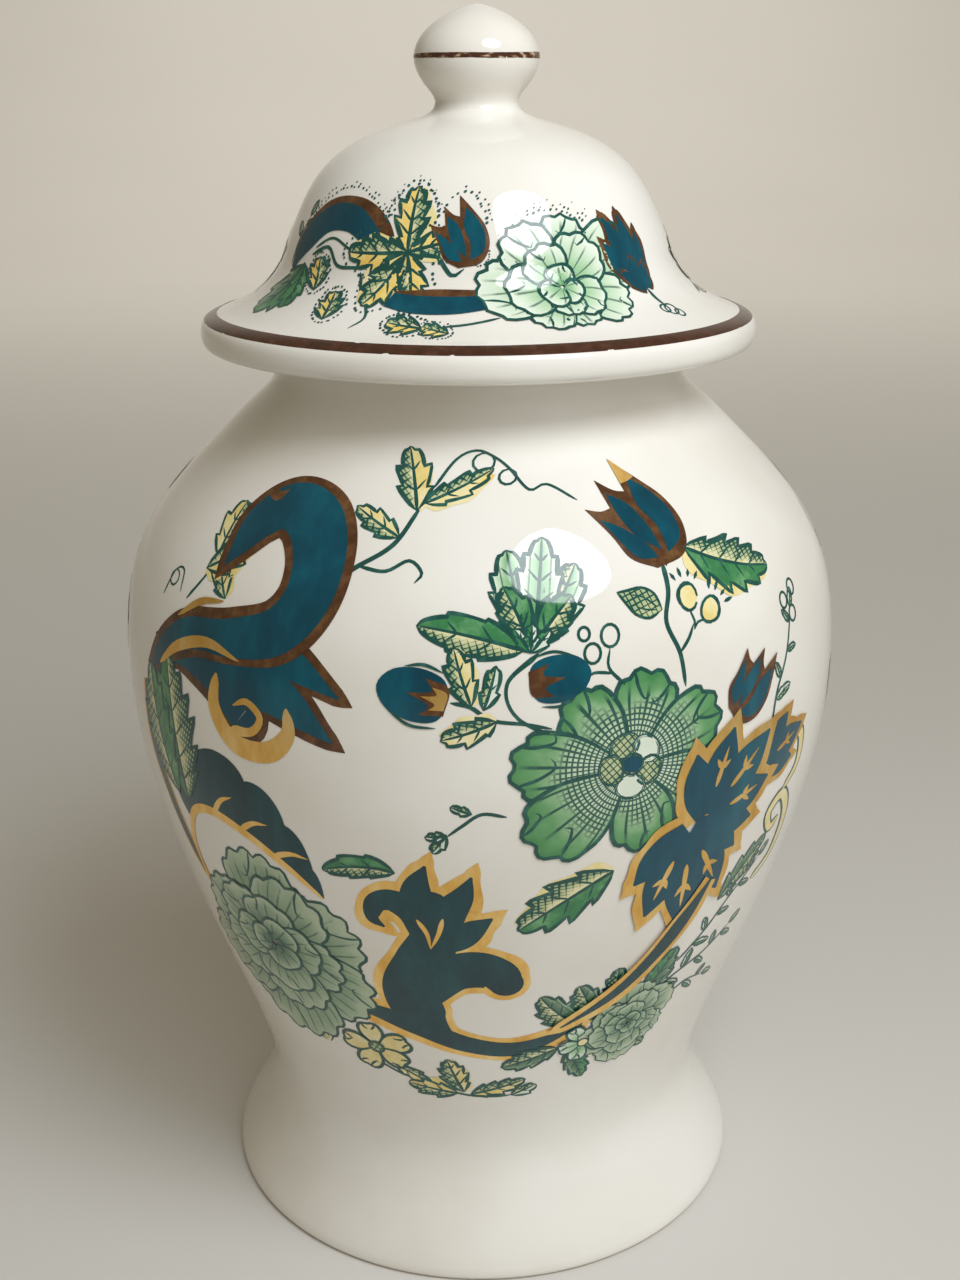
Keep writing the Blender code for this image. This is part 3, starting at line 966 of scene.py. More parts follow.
def paintScrolls(side):
    put = spotter("jar", side)
    at = put(-38, 138)
    on = placer(at, side)
    # the large curled leaf, its tail running off to the left
    hook = on([(-58.5, 119), (-54, 125), (-47, 129.5), (-38, 131), (-30.5, 133.5), (-26.4, 138.5),
               (-26, 144.4), (-29.4, 149), (-35, 150.4), (-39.6, 148), (-42.4, 143.2), (-43.6, 140.8)])
    edged(over(at, 3), [(hook, [0.4, 1.6, 2.4, 2.2, 2.8, 3.4, 4.2, 4.6, 4.6, 4.2, 3.0, 0.2],
                         [0.4, 2.0, 3.0, 3.4, 4.0, 4.6, 4.8, 4.6, 4.8, 4.8, 3.6, 0.2])], "brown", 1.5)
    stroke(over(at, 5), on([(-42.2, 152.4), (-39.6, 151.4), (-37.8, 152.6)]), [2.6, 1.9, 0.5], "brown")
    # three flames that turn back under it, and a gilded curl
    flames = [(on([(-46, 128), (-37, 130), (-28, 128.5), (-19.5, 124)]),
               [2, 3.2, 3.0, 0.2], [2, 3.2, 2.6, 0.2]),
              (on([(-45, 126), (-38, 125.5), (-29, 122.5), (-20.5, 116.5)]),
               [2, 4.0, 3.6, 0.2], [2, 4.0, 3.2, 0.2]),
              (on([(-56, 123), (-49, 126), (-41, 124), (-35, 118.5)]),
               [2, 3.8, 5.4, 4.4], [2, 3.2, 3.8, 3.8])]
    edged(at, flames, "brown", 1.3)
    for layer, places, width in (
            (2, [(-40.5, 124), (-40.8, 118), (-37, 112.8), (-31, 112.6), (-27.4, 116.4), (-27.6, 121)],
             [1.6, 3.0, 3.6, 3.8, 3.2, 1.4]),
            (3.5, [(-37.6, 115), (-33.6, 115.6), (-32, 118.4), (-34.4, 120.6), (-37, 119.4)],
             [2.2, 1.6, 1.4, 1.3, 0.6]),
            (6, [(-55, 121.5), (-50, 126), (-43, 128.5), (-36, 127)], [0.8, 2.0, 1.8, 0.4]),
            (6, [(-51, 131), (-46, 134.5), (-41, 135.6)], [0.6, 1.3, 0.5])):
        stroke(over(at, layer), on(places), width, "gold")

    # the low gilded scroll in the middle: a long sweep, a curled leaf that rises from it, a round fold
    low = put(-6, 74)
    lowOn = placer(low, side)
    parts = [(lowOn([(-33, 60.5), (-22, 60.5), (-12, 57.5), (-3, 53.5), (7, 52), (18, 56)]),
              [0.4, 1.5, 2.6, 2.2, 1.8, 0.3], [0.4, 1.3, 2.4, 2.2, 1.8, 0.3]),
             (lowOn([(-7, 55), (-11, 60), (-12, 67), (-9.6, 74), (-7.4, 80), (-7.6, 87)]),
              [2.0, 4.4, 5.4, 5.0, 4.2, 3.2], [2.0, 5.0, 4.8, 4.6, 4.2, 3.4]),
             (lowOn([(-8.6, 80), (-10.4, 85.4), (-13.4, 87.6), (-16, 86.6), (-16.8, 83.4), (-15, 81.6)]),
              [2.4, 2.6, 2.6, 2.2, 1.6, 0.2], [2.4, 2.8, 2.6, 2.2, 1.5, 0.2]),
             (lowOn([(-8.4, 82), (-9.6, 86.6), (-9.4, 91), (-8.0, 95.4)]), [2.6, 3.0, 2.4, 0.2]),
             (lowOn([(-7.4, 79.5), (-5.0, 85.5), (-2.8, 89.4), (-1.4, 93.4)]), [2.4, 3.2, 2.3, 0.2]),
             (lowOn([(-7, 78.5), (-3.6, 80), (-1.0, 82.4), (1.6, 84.6)]), [2.2, 2.6, 2.1, 0.2]),
             (lowOn([(-9.5, 65), (-5.5, 71), (-1.4, 72.8), (2.4, 71.6), (4.0, 69.4)]),
              [2.4, 4.0, 4.4, 4.4, 3.2], [2.4, 3.6, 4.4, 4.4, 3.2])]
    # filled with the teal darkened as painted shade for the lower jar
    edged(low, parts, "gold", 1.55, "tealLow")
    fill(over(low, 1), "tealLow", ringPoints(*lowOn([(-7.4, 87.6)])[0], 2.0))
    goldRibs(over(low, 3), [lowOn([(-9.8, 84), (-8.4, 81), (-8.0, 77.5)]),
                            lowOn([(-5.8, 84.5), (-6.6, 81), (-8.0, 77.5)])], 0.8)

    # the gilded stem on the right, drawn to a point
    right = put(30, 72, layer=21.5)
    bow = placer(right, side)([(38.2, 85), (35, 78.5), (30.5, 71), (24, 63.5), (14.5, 57)])
    # filled with the teal darkened as painted shade for the lower jar
    edged(right, [(bow, [0.3, 1.7, 1.4, 1.0, 0.2])], "gold", 1.25, "tealLow")
    flank = put(-58, 98)
    rise = placer(flank, side)([(-61.5, 116), (-61, 107), (-58.5, 97), (-55.5, 87), (-51.5, 77)])
    # filled with the teal darkened as painted shade
    edged(flank, [(rise, [0.2, 1.2, 1.4, 1.2, 0.2])], "gold", 0.6, "tealLow")
    print("scrolls at", side, "degrees")


acanthus = [
    # angle, height, turn and layer of each cut leaf, its rim, its lobes, the ones with a rib, the rib's width
    ((34, 99, -42, 13), 1.6, [(-62, 13, 3.4, 1.5), (-28, 16.5, 3.8, 1.2), (6, 19.5, 4.0, 0.4),
                              (38, 16, 3.8, -1.0), (70, 12.5, 3.4, -1.5)], slice(1, 4), 0.9),
    ((31.5, 98, -168, 13.5), 1.6, [(-52, 14, 3.8, 1.5), (-22, 19, 4.2, 1.0), (6, 22, 4.2, 0.5),
                                   (34, 18.5, 4.0, -1.0), (64, 13.5, 3.6, -1.6)], slice(1, 4), 1.0),
    ((45, 105, -72, 10), 1.2, [(-34, 11, 2.6, 1.0), (0, 14, 3.0, 0.0), (30, 10.5, 2.6, -1.0)],
     slice(1, 2), 0.8),
]


def paintAcanthus(side):
    put = spotter("jar", side)
    # broad cut leaves in teal, rimmed and ribbed in gold, under the large blossom
    for (angle, height, turn, layer), rim, lobes, chosen, ribWidth in acanthus:
        at = put(angle, height, turn, layer=layer)
        lobedLeaf(at, lobes, rim=rim)
        ribbed(at, lobes[chosen], ribWidth)

    # the toothed leaf on the left, its teal darkened as painted shade, with its gilded rib
    left = put(-42, 92)
    rib = placer(left, side)([(-52.5, 78), (-53, 87), (-50, 94.5), (-44.5, 97), (-37, 95), (-30, 90.5),
                              (-24.5, 85.5)])

    def toothed(share):
        body = np.clip(np.sin(math.pi * np.clip((share - 0.30) / 0.70, 0, 1) ** 0.60), 0, 1)
        return 13.2 * body ** 0.85 * (0.86 + 0.16 * np.abs(np.sin(math.pi * (share * 6.5 + 0.2))) ** 0.7)

    blade(over(left, 1), "tealLow", rib, toothed, 0.0, lean=14, step=0.3)
    stroke(over(left, 2), rib, [0.7, 1.3, 1.7, 1.8, 1.7, 1.5, 0.6], "gold")
    path = smoothLine(rib, 0.8)
    ahead, leftward = directions(path)
    for share in (0.50, 0.64, 0.78):
        here = round(share * (len(path) - 1))
        barb = [path[here] + leftward[here] * out + ahead[here] * up
                for out, up in ((0, 0), (3.4, 2.6), (5.0, 5.6))]
        stroke(over(left, 2), barb, [1.3, 1.0, 0.3], "gold")
    print("gilded leaves at", side, "degrees")


def paintFlowers(side):
    put = spotter("jar", side)
    blossom(put(21, 112.5, -6, layer=1))
    peony(put(-38, 71), "shade", stretch=[(95, 1.10), (150, 1.12)])

    # tulip and its stem
    tulip(put(30, 142.5, 8, 0.84, layer=3))
    stems = put(28, 134, layer=1)
    on = placer(stems, side)
    stem(stems, on([(29.5, 143), (29, 139), (27.5, 134.5), (29, 129.5), (29.5, 124)]), (1.0, 0.8, 0.8, 0.7))
    leaf(beside(stems, side, 34.5, 144.5, -128, layer=1), 19, 5.4, -6.0, 5, ("leaf", "green"), 0.55,
         washed=True)
    stem(stems, on([(30, 142.4), (32, 144.8), (35.5, 144.8)]), (0.7, 0.7, 0.5))
    smallBud(beside(stems, side, 27.2, 136.4, 62, 0.86, layer=1), "leaf")
    stem(stems, on([(29, 129.5), (30.8, 131.5), (32, 133.5)]), (0.7, 0.6, 0.5))
    berries(beside(stems, side, 32, 132.6, -26, 0.86, layer=1))

    # the pale bud with its long leaf, and the twigs below it
    printedBud(put(7, 133, -6, 0.95, layer=3))
    leaf(put(6, 132.5, 68, 1.0, -1, layer=2), 17, 3.9, 2.6, 3, ("green", "leaf"), 0.55, 0.12)
    twigs = put(8, 126, layer=1)
    twigOn = placer(twigs, side)
    stem(twigs, twigOn([(8, 132), (3.6, 127.5), (5.0, 122), (12, 117.5)]), (1.0, 0.6, 0.6, 0.9))
    tealBud(put(6.6, 127.4, -82, 0.82, layer=4), None)
    tealBud(put(-4.4, 124.6, 78, 0.94, layer=4))
    stem(twigs, twigOn([(-4, 124.6), (-1.4, 124), (1.5, 121.8), (6, 121), (9.6, 120)]), (0.8, 0.7, 0.6, 0.5))
    leaf(beside(twigs, side, -1.2, 124, 22, layer=1), 9.5, 2.8, 1.2, 3, ("leaf", "yellow"), 0.5, washed=True)
    leaf(beside(twigs, side, 0.4, 123.4, -22, layer=1), 7.5, 1.7, -0.6, 2, ("leaf", "pale"), 0.5)
    leaf(beside(twigs, side, 2.2, 121.6, 118, layer=1), 9.5, 2.5, 1.4, 3, ("yellow", "leaf"), 0.5,
         washed=True)
    stem(twigs, twigOn([(20, 126), (17.8, 129), (18.2, 132)]), (0.7, 0.5, 0.4))
    stem(twigs, twigOn([(18.6, 128), (15.6, 128.4), (14, 127.2)]), (0.6, 0.5, 0.4))
    for a, h, across in ((18.4, 133.8, 3.6), (15.6, 131.4, 3.2), (14.6, 134.4, 2.2)):
        stroke(twigs, ringPoints(*twigOn([(a, h)])[0], across * 0.85, across), 0.5, closed=True)

    # dark tulip half hidden at the right, a spray above it
    tulip(put(37.6, 117.5, -58, 0.60, layer=9), tip=False)
    sprig(put(47, 112, -8, layer=1), [(0, 0), (0.6, 6), (3.0, 12), (5.0, 20)], 4, 4.6, ("pale", "leaf"))
    for x, y in ((3.2, 21.5), (6.4, 23.5), (5.8, 19.0)):
        stroke(put(47, 112, -8, layer=1), ringPoints(x, y, 2.3, 2.8), 0.45, closed=True)

    # left edge: the two-tone leaves behind the scroll, fern below it
    yellowLeaves = put(-44, 138)
    stem(yellowLeaves, placer(yellowLeaves, side)([(-50, 134), (-47, 138.5), (-45.5, 143)]), (0.6, 0.5, 0.4))
    leaf(put(-46, 141.5, 10), 11, 3.6, 1.5, 3, ("yellow", "leaf"), 0.5, washed=True)
    leaf(put(-47.5, 139.5, -60, layer=1), 11.5, 3.6, -1.5, 3, ("leaf", "yellow"), 0.5, washed=True)
    leaf(put(-41, 136, 42, 0.9), 9, 3.0, 1.5, 3, ("leaf", "yellow"), 0.5, washed=True)
    fern = put(-50.5, 97, layer=3)
    leaf(fern, 27, 8.0, -3.0, 6, ("green", "leaf"), 0.55, 0.28)
    leaf(near(fern, -3.4, 0, 22, layer=1), 24, 6.6, 3.0, 5, ("leaf", "green"), 0.5, 0.28)
    tendril(put(-57, 133), [(0, 0), (1.8, 5.0), (4.4, 5.4), (5.6, 1.6)], 0.4, [(2.2, 3.6, 2.8, 90)])

    # the sprig and looped tendril at the top
    top = put(-8, 148, layer=1)
    topOn = placer(top, side)
    stem(top, topOn([(-23.5, 140.5), (-19.5, 143.5), (-14, 147), (-10.5, 152)]), (1.1, 0.8, 0.8, 0.7))
    leaf(beside(top, side, -11, 151.6, 8), 12.5, 3.4, -0.8, 3, ("leaf", "yellow"), 0.55, washed=True)
    leaf(beside(top, side, -13.2, 148, 62), 9.5, 2.5, 0.8, 3, ("leaf", "yellow"), 0.5)
    leaf(beside(top, side, -9.8, 152.6, -64), 12.5, 2.4, -1.4, 3, ("leaf", "yellow"), 0.5, washed=True)
    tendril(top, topOn([(-19, 143.8), (-14.5, 143.4), (-11, 145), (-8.8, 143.4), (-9.8, 142)]), 0.6)
    tendril(top, topOn([(-8.6, 154.6), (-4.6, 158.6), (-0.5, 159.8), (3.0, 159.0), (6.0, 157.4), (9.4, 154.4),
                        (13.0, 155.0), (18.0, 152.6)]), 0.48,
            [(*topOn([(1.0, 158.2)])[0], 3.6, 70), (*topOn([(5.6, 156.2)])[0], 2.9, 60)])

    # lower edge: small yellow flower, low sprig, leaves under the stem
    fiveFlower(put(-21.5, 50, 12, layer=1), 7.4)
    smallBud(put(-33, 47.5, 20, 0.72, layer=1))
    stem(put(-26, 47.5), [(0, 0), (4, -2.0), (8.5, -4.6), (12.5, -4.8)], (0.6, 0.6, 0.5))
    leaf(put(-18.5, 46, -118, layer=1), 8, 2.0, 1.0, 3, ("leaf", "yellow"), 0.45)
    sprigAt = put(-4, 40, layer=1)
    leaf(near(sprigAt, 0, 0, 22), 10, 3.0, 1.0, 4, ("leaf", "yellow"), 0.55, washed=True)
    leaf(near(sprigAt, -1, -0.4, 84), 9.5, 2.7, 1.0, 3, ("leaf", "yellow"), 0.55, washed=True)
    leaf(near(sprigAt, 1.2, -0.6, -74), 11, 2.4, -1.0, 4, ("leaf", "yellow"), 0.55)
    stem(sprigAt, [(-4, 0.6), (1, -1.0), (6, -1.4), (9, -1.0)], (0.6, 0.5, 0.4))
    leaf(near(sprigAt, 8.6, -1.2, -62), 5.5, 1.7, 0, 2, ("leaf", "pale"), 0.45)
    leaf(put(-12.4, 93.5, 62), 11, 2.8, -7.5, 3, ("leaf", "green"), 0.55, 0.15)
    tendril(put(3.5, 105), [(0, 0), (-4.0, 0.6), (-7.2, -1.6), (-9.8, -3.8)], 0.6)
    leaf(put(-4.8, 101.8, 152, 0.9), 5.0, 1.5, 0.4, 2, ("pale", "leaf"), 0.5)
    leaf(put(-4.6, 101.4, 100, 0.9), 4.2, 1.2, 0.4, 2, ("pale", "leaf"), 0.5)
    leaf(put(-1.2, 105.6, 76, 0.9), 4.2, 1.1, 0.4, 2, ("pale", "leaf"), 0.5)
    leaf(put(19.5, 92.5, 118), 19, 5.4, -2.5, 4, ("green", "leaf"), 0.6, 0.3, washed=True)

    # cluster under the gilded stem
    leaf(put(19, 56, 56, layer=1), 13, 3.8, 3.0, 4, ("leaf", "shade"), 0.5, 0.25)
    leaf(put(21, 57, 12, layer=1), 11, 3.4, -2.0, 4, ("leaf", "shade"), 0.5, 0.25)
    leaf(put(26, 60, 24), 10, 3.0, 2.0, 4, ("leaf", "shade"), 0.5, 0.25)
    for k, (angle, height, turn, long) in enumerate([(24, 54, -62, 14), (28, 57, -38, 13), (22, 51, -96, 12),
                                                     (17, 50, -150, 10), (15, 51, 118, 11), (31, 60, -20, 12),
                                                     (26, 52, -122, 11)]):
        leaf(put(angle, height, turn, layer=1 + 0.7 * k), long, long * 0.27, 1.0, 4,
             ("green", "shade") if k % 2 else ("shade", "leaf"), 0.5, 0.25)
    peony(put(29, 54, 0, 0.50, layer=6), "shade")
    fiveFlower(put(20, 51.5, 30, 0.66, layer=7), 8.0, "blush", "yellow")
    sprig(put(33, 60, -42, layer=1), [(0, 0), (2, 6), (5, 12), (7, 19)], 5, 5.0)
    sprig(put(37, 66, -28, layer=1), [(0, 0), (2, 8), (3, 15), (6, 24)], 6, 4.8)
    sprig(put(30, 57.5, -78, layer=1), [(0, 0), (2, 6), (1, 12), (3, 17)], 4, 4.6)
    leaf(put(42.5, 78, -34, layer=1), 15, 3.4, 3.0, 4, ("shade", "leaf"), 0.45)

    # curled green edging at the right flank
    edge = put(52, 88, layer=1)
    for width, kind in ((3.0, "line"), (1.9, "yellow")):
        hooked = [(0, -10), (5.5, -6), (6.5, 2), (2.5, 8), (-1.5, 5.5), (0.5, 1.5), (3.4, 3.0)]
        stroke(over(edge, 0.6 * (kind == "yellow")), hooked, [width * 0.6, width, width, width * 0.7], kind)
        second = [(2.0, 9), (6.5, 13), (6.0, 19), (1.5, 20.5), (0.2, 17), (2.6, 15)]
        stroke(over(edge, 0.6 * (kind == "yellow")), second, [width * 0.5, width, width * 0.8], kind)
    print("flowers at", side, "degrees")


flankSprig = {
    "angle": 88, "height": 62,
    "stem": [(0, 0), (3, 16), (-3, 34), (3, 52), (-1, 70), (3, 84)],
    "leaves": [(0.10, 54), (0.22, -58), (0.36, 60), (0.50, -54), (0.64, 56), (0.78, -58)],
}


def paintFlank(side):
    put = spotter("jar", side)
    # the quiet stretch between the two painted sides
    at = put(flankSprig["angle"], flankSprig["height"], layer=1)
    path = smoothLine(flankSprig["stem"], 0.9)
    stroke(at, path, [1.1, 0.9, 0.8, 0.6], drawn=True)
    for k, (share, turn) in enumerate(flankSprig["leaves"]):
        x, y = path[round(share * (len(path) - 1))]
        leaf(near(at, x, y, turn, layer=0.5), 15 - k, 4.4 - 0.25 * k, (1 if turn > 0 else -1) * 2.0, 4,
             ("leaf", "yellow") if k % 2 else ("green", "leaf"), 0.55, washed=k % 2 == 1)
    smallBud(near(at, 3, 84, -8, layer=1))
    fiveFlower(near(at, 9, 60, 0, 0.9, layer=2), 8.5)
    stem(at, [(0, 55), (4, 57), (8, 60)], (0.6, 0.5, 0.4))
    tealBud(near(at, -8, 44, 40, 0.9, layer=2))
    stem(at, [(-1, 36), (-5, 39), (-8, 44)], (0.7, 0.6, 0.6))
    berries(near(at, 8, 28, -30, 0.9, layer=1))
    tendril(at, [(1, 68), (-6, 72), (-9, 79), (-6, 84)], 0.45, [(-7.4, 75, 3.2, 20)])
    print("flank at", side + flankSprig["angle"], "degrees")


for side in (0, 180):
    paintScrolls(side)
    paintAcanthus(side)
    paintFlowers(side)
    paintFlank(side)


# the lid's garland

def paintGarland(side):
    put = spotter("lid", side)
    at = put(-44, 188, layer=2)
    on = placer(at, side)
    # teal arch with a brown back
    arch = on([(-64, 186.5), (-60, 191), (-51, 195.4), (-40, 196), (-31, 193.5), (-26, 190)])
    blade(at, "brown", arch, [0.6, 2.6, 3.0, 3.0, 3.0, 2.2], [0.3, 1.6, 1.6, 1.6, 1.8, 1.6])
    blade(over(at, 1), "teal", arch, [0.4, 2.0, 1.9, 1.6, 0.8, 0.2], [0.6, 2.6, 3.0, 3.2, 3.0, 2.6])
    fringe(at, on([(-62, 193.4), (-55, 198.0), (-44, 199.9), (-34, 198.2), (-28, 195.2)]))
    fringe(at, on([(-27, 195.4), (-23.4, 198.2), (-19.5, 200.6), (-15.6, 198.4), (-12.6, 195.6)]), 3)
    fringe(at, on([(-9.4, 196.8), (-6, 199.4), (-1, 199.0), (2.4, 195.0)]), 2)
    fringe(at, on([(9, 192.5), (15, 195.8), (24, 196.4), (32, 194.6)]), 3)
    leaf(put(-57, 187.4, 158, 1.35, layer=1), 9.4, 3.8, 1.0, 3, ("green", "shade"), 0.5)
    leaf(put(-57, 187.6, 186, 1.2, layer=2), 8.0, 2.8, -1.0, 3, ("green", "green"), 0.5)
    sprig(put(-66, 187, 2), [(0, 0), (0.6, 4), (2.0, 8.5)], 3, 4.2, ("leaf", "pale"))
    tendril(at, on([(-54, 189), (-47, 190.5), (-42, 187.8), (-36, 187.6), (-29, 188)]), 0.6)
    tendril(at, on([(-53, 190.2), (-46, 192), (-38, 190.4), (-29, 189)]), 0.45)
    for angle, height, turn, size in ((-47, 183.6, 20, 0.9), (-37, 179.8, 16, 0.95), (-12, 179.4, 84, 0.9),
                                      (-6, 178.8, 74, 0.7), (1, 189, 30, 0.62)):
        small = put(angle, height, turn, size, layer=3)
        leaf(small, 7.0, 3.2, 0.6, 3, ("sun", "leaf"), 0.65, 0.42)
        fringe(small, ringPoints(0.3, 3.6, 7.4, 9.4), 1, 0.6)
    tendril(at, on([(-33, 187), (-31, 184), (-28, 182.2), (-26.4, 180.4), (-28.6, 179)]), 0.5,
            [(*on([(-26.6, 183.2)])[0], 2.2, 0)])
    for turn, long, wide in ((2, 11.5, 3.4), (96, 11.5, 3.4), (150, 12, 3.6), (196, 10.5, 3.0),
                             (-70, 8.5, 2.4)):
        leaf(put(-19.5, 190.4, turn, layer=3), long, wide, 0.8, 4, ("sun", "leaf"), 0.6, 0.35,
             washed=True)
        fringe(put(-19.5, 190.4, turn, layer=3),
               [(-wide - 0.2, long * 0.45), (-wide, long * 0.7), (0.6, long + 0.9), (wide + 0.8, long * 0.7),
                (wide + 0.6, long * 0.45)], 1, 0.6)
    tulip(put(-3.5, 188.2, 6, 0.50, layer=5), tip=False)
    stem(over(at, 1), on([(-18, 190.2), (-12, 190.4), (-7, 187), (-3.6, 188)]), (0.9, 0.7, 0.6))
    # teal bar with a brown top edge
    bar = on([(-22, 183.4), (-14, 182.8), (-4, 182.8), (5, 183.4)])
    blade(over(at, 3), "brown", bar, [1.4, 2.7, 2.7, 1.8], 0.0)
    blade(over(at, 4), "teal", bar, [1.0, 1.4, 1.4, 1.2], [1.8, 2.3, 2.3, 1.9])
    tendril(over(at, 1), on([(5, 180.8), (-2, 180), (-8, 179.6)]), 0.6)
    # peony towards the right
    shape = {"rings": [(7, 8.8, 70, 8, 5), (5, 5.8, 96, 40, 4), (3, 3.2, 130, 0, 2)], "folds": 3}
    peony(put(22, 184.8, layer=4), "blush", shape, stretch=[(80, 1.9), (-80, 1.8), (0, 1.2)])
    # thistle, drooping towards its ringed stalk
    thistle = put(49, 183.4, 14, 0.62, layer=5)
    lobes = [(-27, 18, 3.0, 1.0), (-9, 23, 3.2, 0.5), (9, 22, 3.0, -0.5), (27, 17, 2.6, -1.0)]
    lobedLeaf(thistle, lobes, "brown", 1.2)
    lobedLeaf(over(thistle, 1), [(-40, 9, 2.4, 1.0), (0, 10, 2.6, 0), (38, 8, 2.2, -1)], "brown", 0.7)
    stroke(put(49, 183.6), [(0, 0), (0.4, -2.4), (1.2, -4.4)], [0.9, 0.7])
    for x, y, across in ((1.6, -5.4, 2.8), (0.2, -5.0, 2.0), (2.8, -6.6, 2.0)):
        stroke(put(49, 183.6), ringPoints(x, y, across), 0.4, closed=True)
    # between this garland and the next
    sprig(put(76, 181, -38, layer=1), [(0, 0), (1.5, 4), (1, 8), (4, 14)], 5, 5.2, ("leaf", "yellow"))
    fiveFlower(put(88, 187, 0, 0.8, layer=2), 7.6)
    sprig(put(99, 181, 36, layer=1), [(0, 0), (-1.5, 4), (-1, 8), (-4, 13)], 5, 5.0, ("leaf", "yellow"))
    print("garland at", side, "degrees")


for side in (0, 180):
    paintGarland(side)


# brown bands, drawn freehand on the wheel

bands = {
    "around": 960, "rows": 14,    # points round a band and across it
    "rim": {"low": 176.3, "high": 177.5, "wobble": 0.06, "nicks": 9, "nickDepth": 0.24},
    "knob": {"low": 220.8, "high": 221.7, "wobble": 0.10, "nicks": 10, "nickDepth": 0.30},
}


def bandEdge(count, wobble, nicks, depth):
    # a closed run of small ups and downs, with short breaks where the enamel has chipped
    turns = np.linspace(0, 2 * math.pi, count, endpoint=False)
    edge = sum(dice.uniform(-1, 1) * wobble / (k ** 0.5) * np.sin(k * turns + dice.uniform(0, 6.28))
               for k in (1, 2, 3, 5, 9, 17, 31, 53))
    for nick in range(nicks):
        here = dice.randrange(count)
        for k in range(dice.choice((1, 2, 3, 5))):
            edge[(here + k) % count] += depth * dice.uniform(0.3, 1.0)
    return edge


def paintBand(name, look):
    at = spot("lid", 0, look["low"])
    side = sides["lid"]
    start = np.interp(look["low"], side["height"], side["along"])
    rise = np.interp(look["high"], side["height"], side["along"]) - start
    radius = np.interp(look["low"], side["height"], side["radius"])
    count, rows = bands["around"], bands["rows"]
    low = bandEdge(count, look["wobble"], look["nicks"], look["nickDepth"])
    high = rise - bandEdge(count, look["wobble"], look["nicks"] // 2, look["nickDepth"])
    steps = np.arange(count + 1) % count
    turns = np.linspace(-math.pi, math.pi, count + 1)
    grid = []
    for row in range(rows):
        y = low[steps] + (high[steps] - low[steps]) * row / (rows - 1)
        # x is measured at each point's own radius, so that the two ends meet
        here = np.interp(start + y, side["along"], side["radius"])
        grid.append(np.stack([turns * here, y], axis=1))
    grid = np.stack(grid, axis=1)
    share = np.repeat(np.linspace(0, 1, rows)[None], count + 1, axis=0)
    laySquares(at, name, grid, grid, share)
    print(name, "band, mean radius", round(float(radius), 1), "mm")


paintBand("rimBand", bands["rim"])
paintBand("knobBand", bands["knob"])


# the paint becomes meshes: one for each enamel on each body

pieceNames = {"teal": "teal_enamel", "tealLow": "teal_enamel_painted_shade", "brown": "brown_enamel",
              "gold": "gold_lustre", "line": "print_lines", "yellow": "yellow_wash",
              "sun": "warm_yellow_wash", "green": "green_wash", "pale": "pale_wash", "petal": "green_petals",
              "shade": "grey_petals", "blush": "pale_petals", "leaf": "stippled_leaves",
              "rimBand": "rim_band", "knobBand": "knob_band"}
total = 0
for (body, enamel), sheet in sheets.items():
    mesh = bpy.data.meshes.new(body + "_" + pieceNames[enamel])
    points = np.concatenate(sheet["points"]) * mm
    mesh.from_pydata(points.tolist(), [], sheet["faces"])
    corners = np.empty(len(mesh.loops), int)
    mesh.loops.foreach_get("vertex_index", corners)
    paintMap = mesh.uv_layers.new(name="paintMap")
    paintMap.data.foreach_set("uv", np.concatenate(sheet["maps"])[corners].astype(np.float32).ravel())
    wash = mesh.attributes.new("wash", "FLOAT", "POINT")
    wash.data.foreach_set("value", np.concatenate(sheet["wash"]).astype(np.float32))
    mesh.shade_smooth()
    mesh.normals_split_custom_set_from_vertices(np.concatenate(sheet["normals"]).tolist())
    mesh.materials.append(enamels[enamel])
    piece = bpy.data.objects.new(mesh.name, mesh)
    bpy.context.collection.objects.link(piece)
    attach(piece, body)
    total += len(mesh.polygons)
    print(piece.name, len(mesh.polygons), "faces")
print(len(sheets), "enamel layers,", total, "faces")


# floor, light and camera

studio = {
    "floor": "#D6D4D0", "floorCloud": "#DCDAD6",
    "floorReach": 3.0, "wallHeight": 4.0, "cove": 1.2,
    "air": (1.0, 0.86, 0.60), "airStrength": 0.24,
    "windowAt": (0.160, -0.248, 0.481), "windowSize": (0.22, 0.22), "windowPower": 1.08,
    "fillAt": (0.95, -1.25, 1.35), "fillSize": 2.2, "fillPower": 22.0,
    "wallLightAt": (0.0, 1.3, 1.6), "wallLightAim": (0.0, 2.8, 0.6), "wallLightPower": 22.0,
    "cameraAt": (0.0, -0.3018, 0.2164), "lookDown": 19.14, "lean": -0.33, "lens": 45.0,
}


def studioBoard(name, look):
    # matt painted board, very slightly uneven
    material, tree, shader, place = startMaterial(name, {"Roughness": 0.6})
    colour = mixed(tree, noise(tree, place, 333.0, 2.0), look["floor"], look["floorCloud"])
    tree.links.new(colour, shader.inputs["Base Color"])
    return material


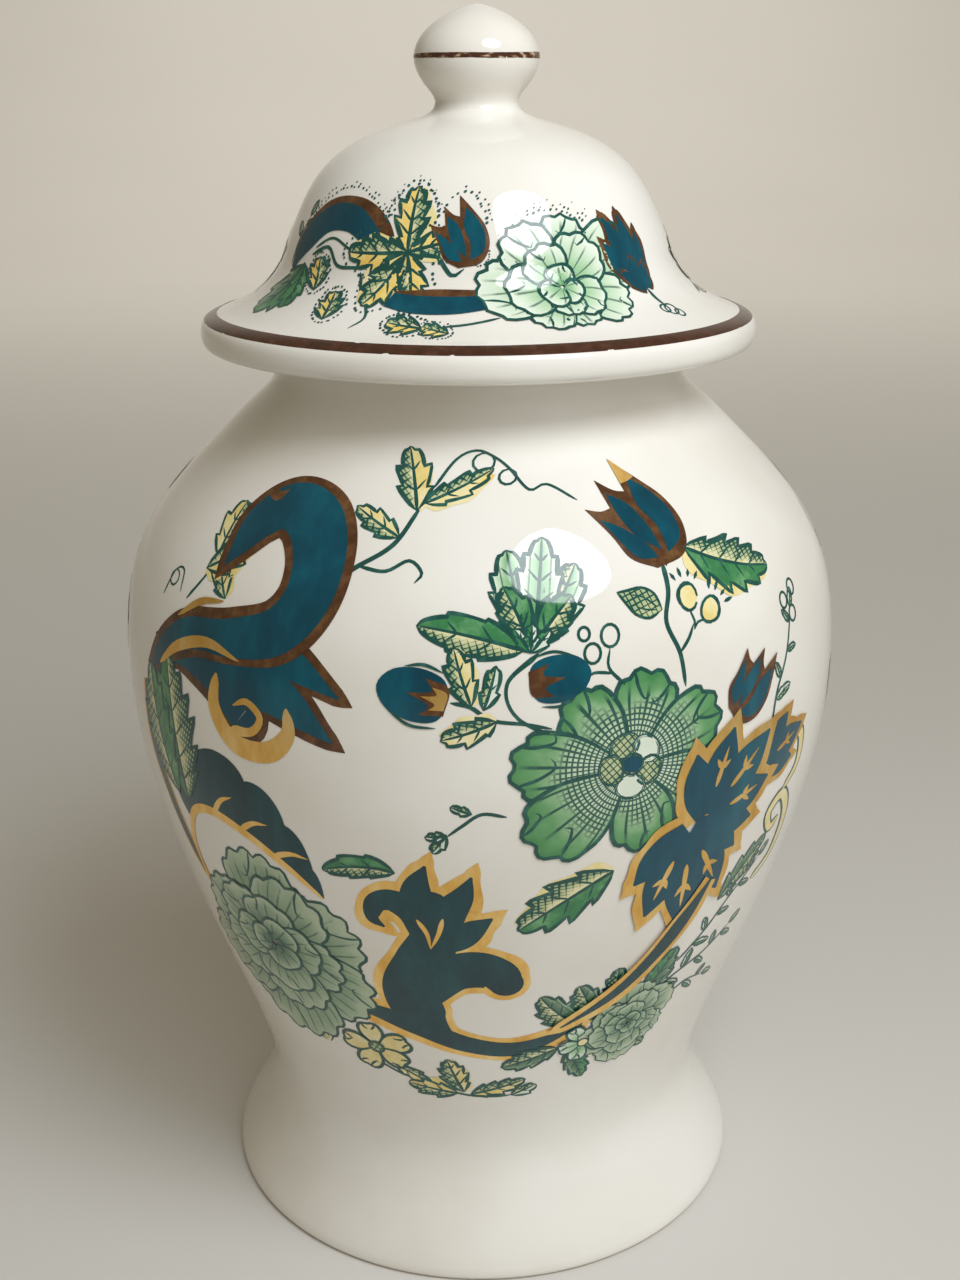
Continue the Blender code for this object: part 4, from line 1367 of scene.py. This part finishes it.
bpy.ops.object.select_all(action="DESELECT")
bpy.ops.mesh.primitive_plane_add(size=2 * studio["floorReach"], location=(0, 0, 0))
floor = bpy.context.object
floor.name = "studio_floor"
for stage in ("wall", "cove"):
    bpy.ops.object.mode_set(mode="EDIT")
    bpy.ops.mesh.select_mode(type="EDGE")
    bpy.ops.mesh.select_all(action="DESELECT")
    bpy.ops.object.mode_set(mode="OBJECT")
    for edge in floor.data.edges:    # the far edge of the floor, on the ground
        ends = [floor.data.vertices[v].co for v in edge.vertices]
        edge.select = all(end.y > studio["floorReach"] - 0.1 and end.z < 0.1 for end in ends)
    bpy.ops.object.mode_set(mode="EDIT")
    if stage == "wall":
        bpy.ops.mesh.extrude_region_move(TRANSFORM_OT_translate={"value": (0, 0, studio["wallHeight"])})
    else:
        bpy.ops.mesh.bevel(offset=studio["cove"], segments=16, affect="EDGES")
    bpy.ops.object.mode_set(mode="OBJECT")
bpy.ops.object.shade_smooth()
floor.data.materials.append(studioBoard("Matt studio board", studio))


def areaLight(name, at, size, power, shape="SQUARE", colour=(1, 1, 1), aim=(0, 0, 0.15)):
    light = bpy.data.lights.new(name, "AREA")
    light.shape = shape
    light.size = size[0]
    light.size_y = size[1]
    light.energy = power
    light.color = colour
    lamp = bpy.data.objects.new(name, light)
    lamp.location = at
    lamp.rotation_euler = (Vector(aim) - Vector(at)).to_track_quat("-Z", "Y").to_euler()
    bpy.context.collection.objects.link(lamp)
    return lamp


areaLight("window_light", studio["windowAt"], studio["windowSize"], studio["windowPower"], "ELLIPSE",
          (0.93, 0.96, 1.0))
softFill = areaLight("soft_fill", studio["fillAt"], (studio["fillSize"],) * 2, studio["fillPower"], "SQUARE",
                     (0.92, 0.96, 1.0))
wallLight = areaLight("wall_light", studio["wallLightAt"], (1.4, 0.6), studio["wallLightPower"], "RECTANGLE",
                      (1.0, 0.97, 0.92), studio["wallLightAim"])
for lamp in (softFill, wallLight):
    lamp.visible_glossy = False   # they brighten the shade without patches of their own on the glaze

world = bpy.data.worlds.new("Soft studio air")
bpy.context.scene.world = world
world.use_nodes = True
world.node_tree.nodes["Background"].inputs["Color"].default_value = (*studio["air"], 1.0)
world.node_tree.nodes["Background"].inputs["Strength"].default_value = studio["airStrength"]
bpy.context.scene.view_settings.view_transform = "Standard"

cameraData = bpy.data.cameras.new("camera")
cameraData.lens = studio["lens"]
cameraData.sensor_width = 36.0
camera = bpy.data.objects.new("camera", cameraData)
bpy.context.collection.objects.link(camera)
tilt = Matrix.Rotation(math.radians(90 - studio["lookDown"]), 4, "X")
camera.matrix_world = (Matrix.Translation(studio["cameraAt"]) @ tilt
                       @ Matrix.Rotation(math.radians(studio["lean"]), 4, "Z"))
bpy.context.scene.camera = camera
print("studio ready")
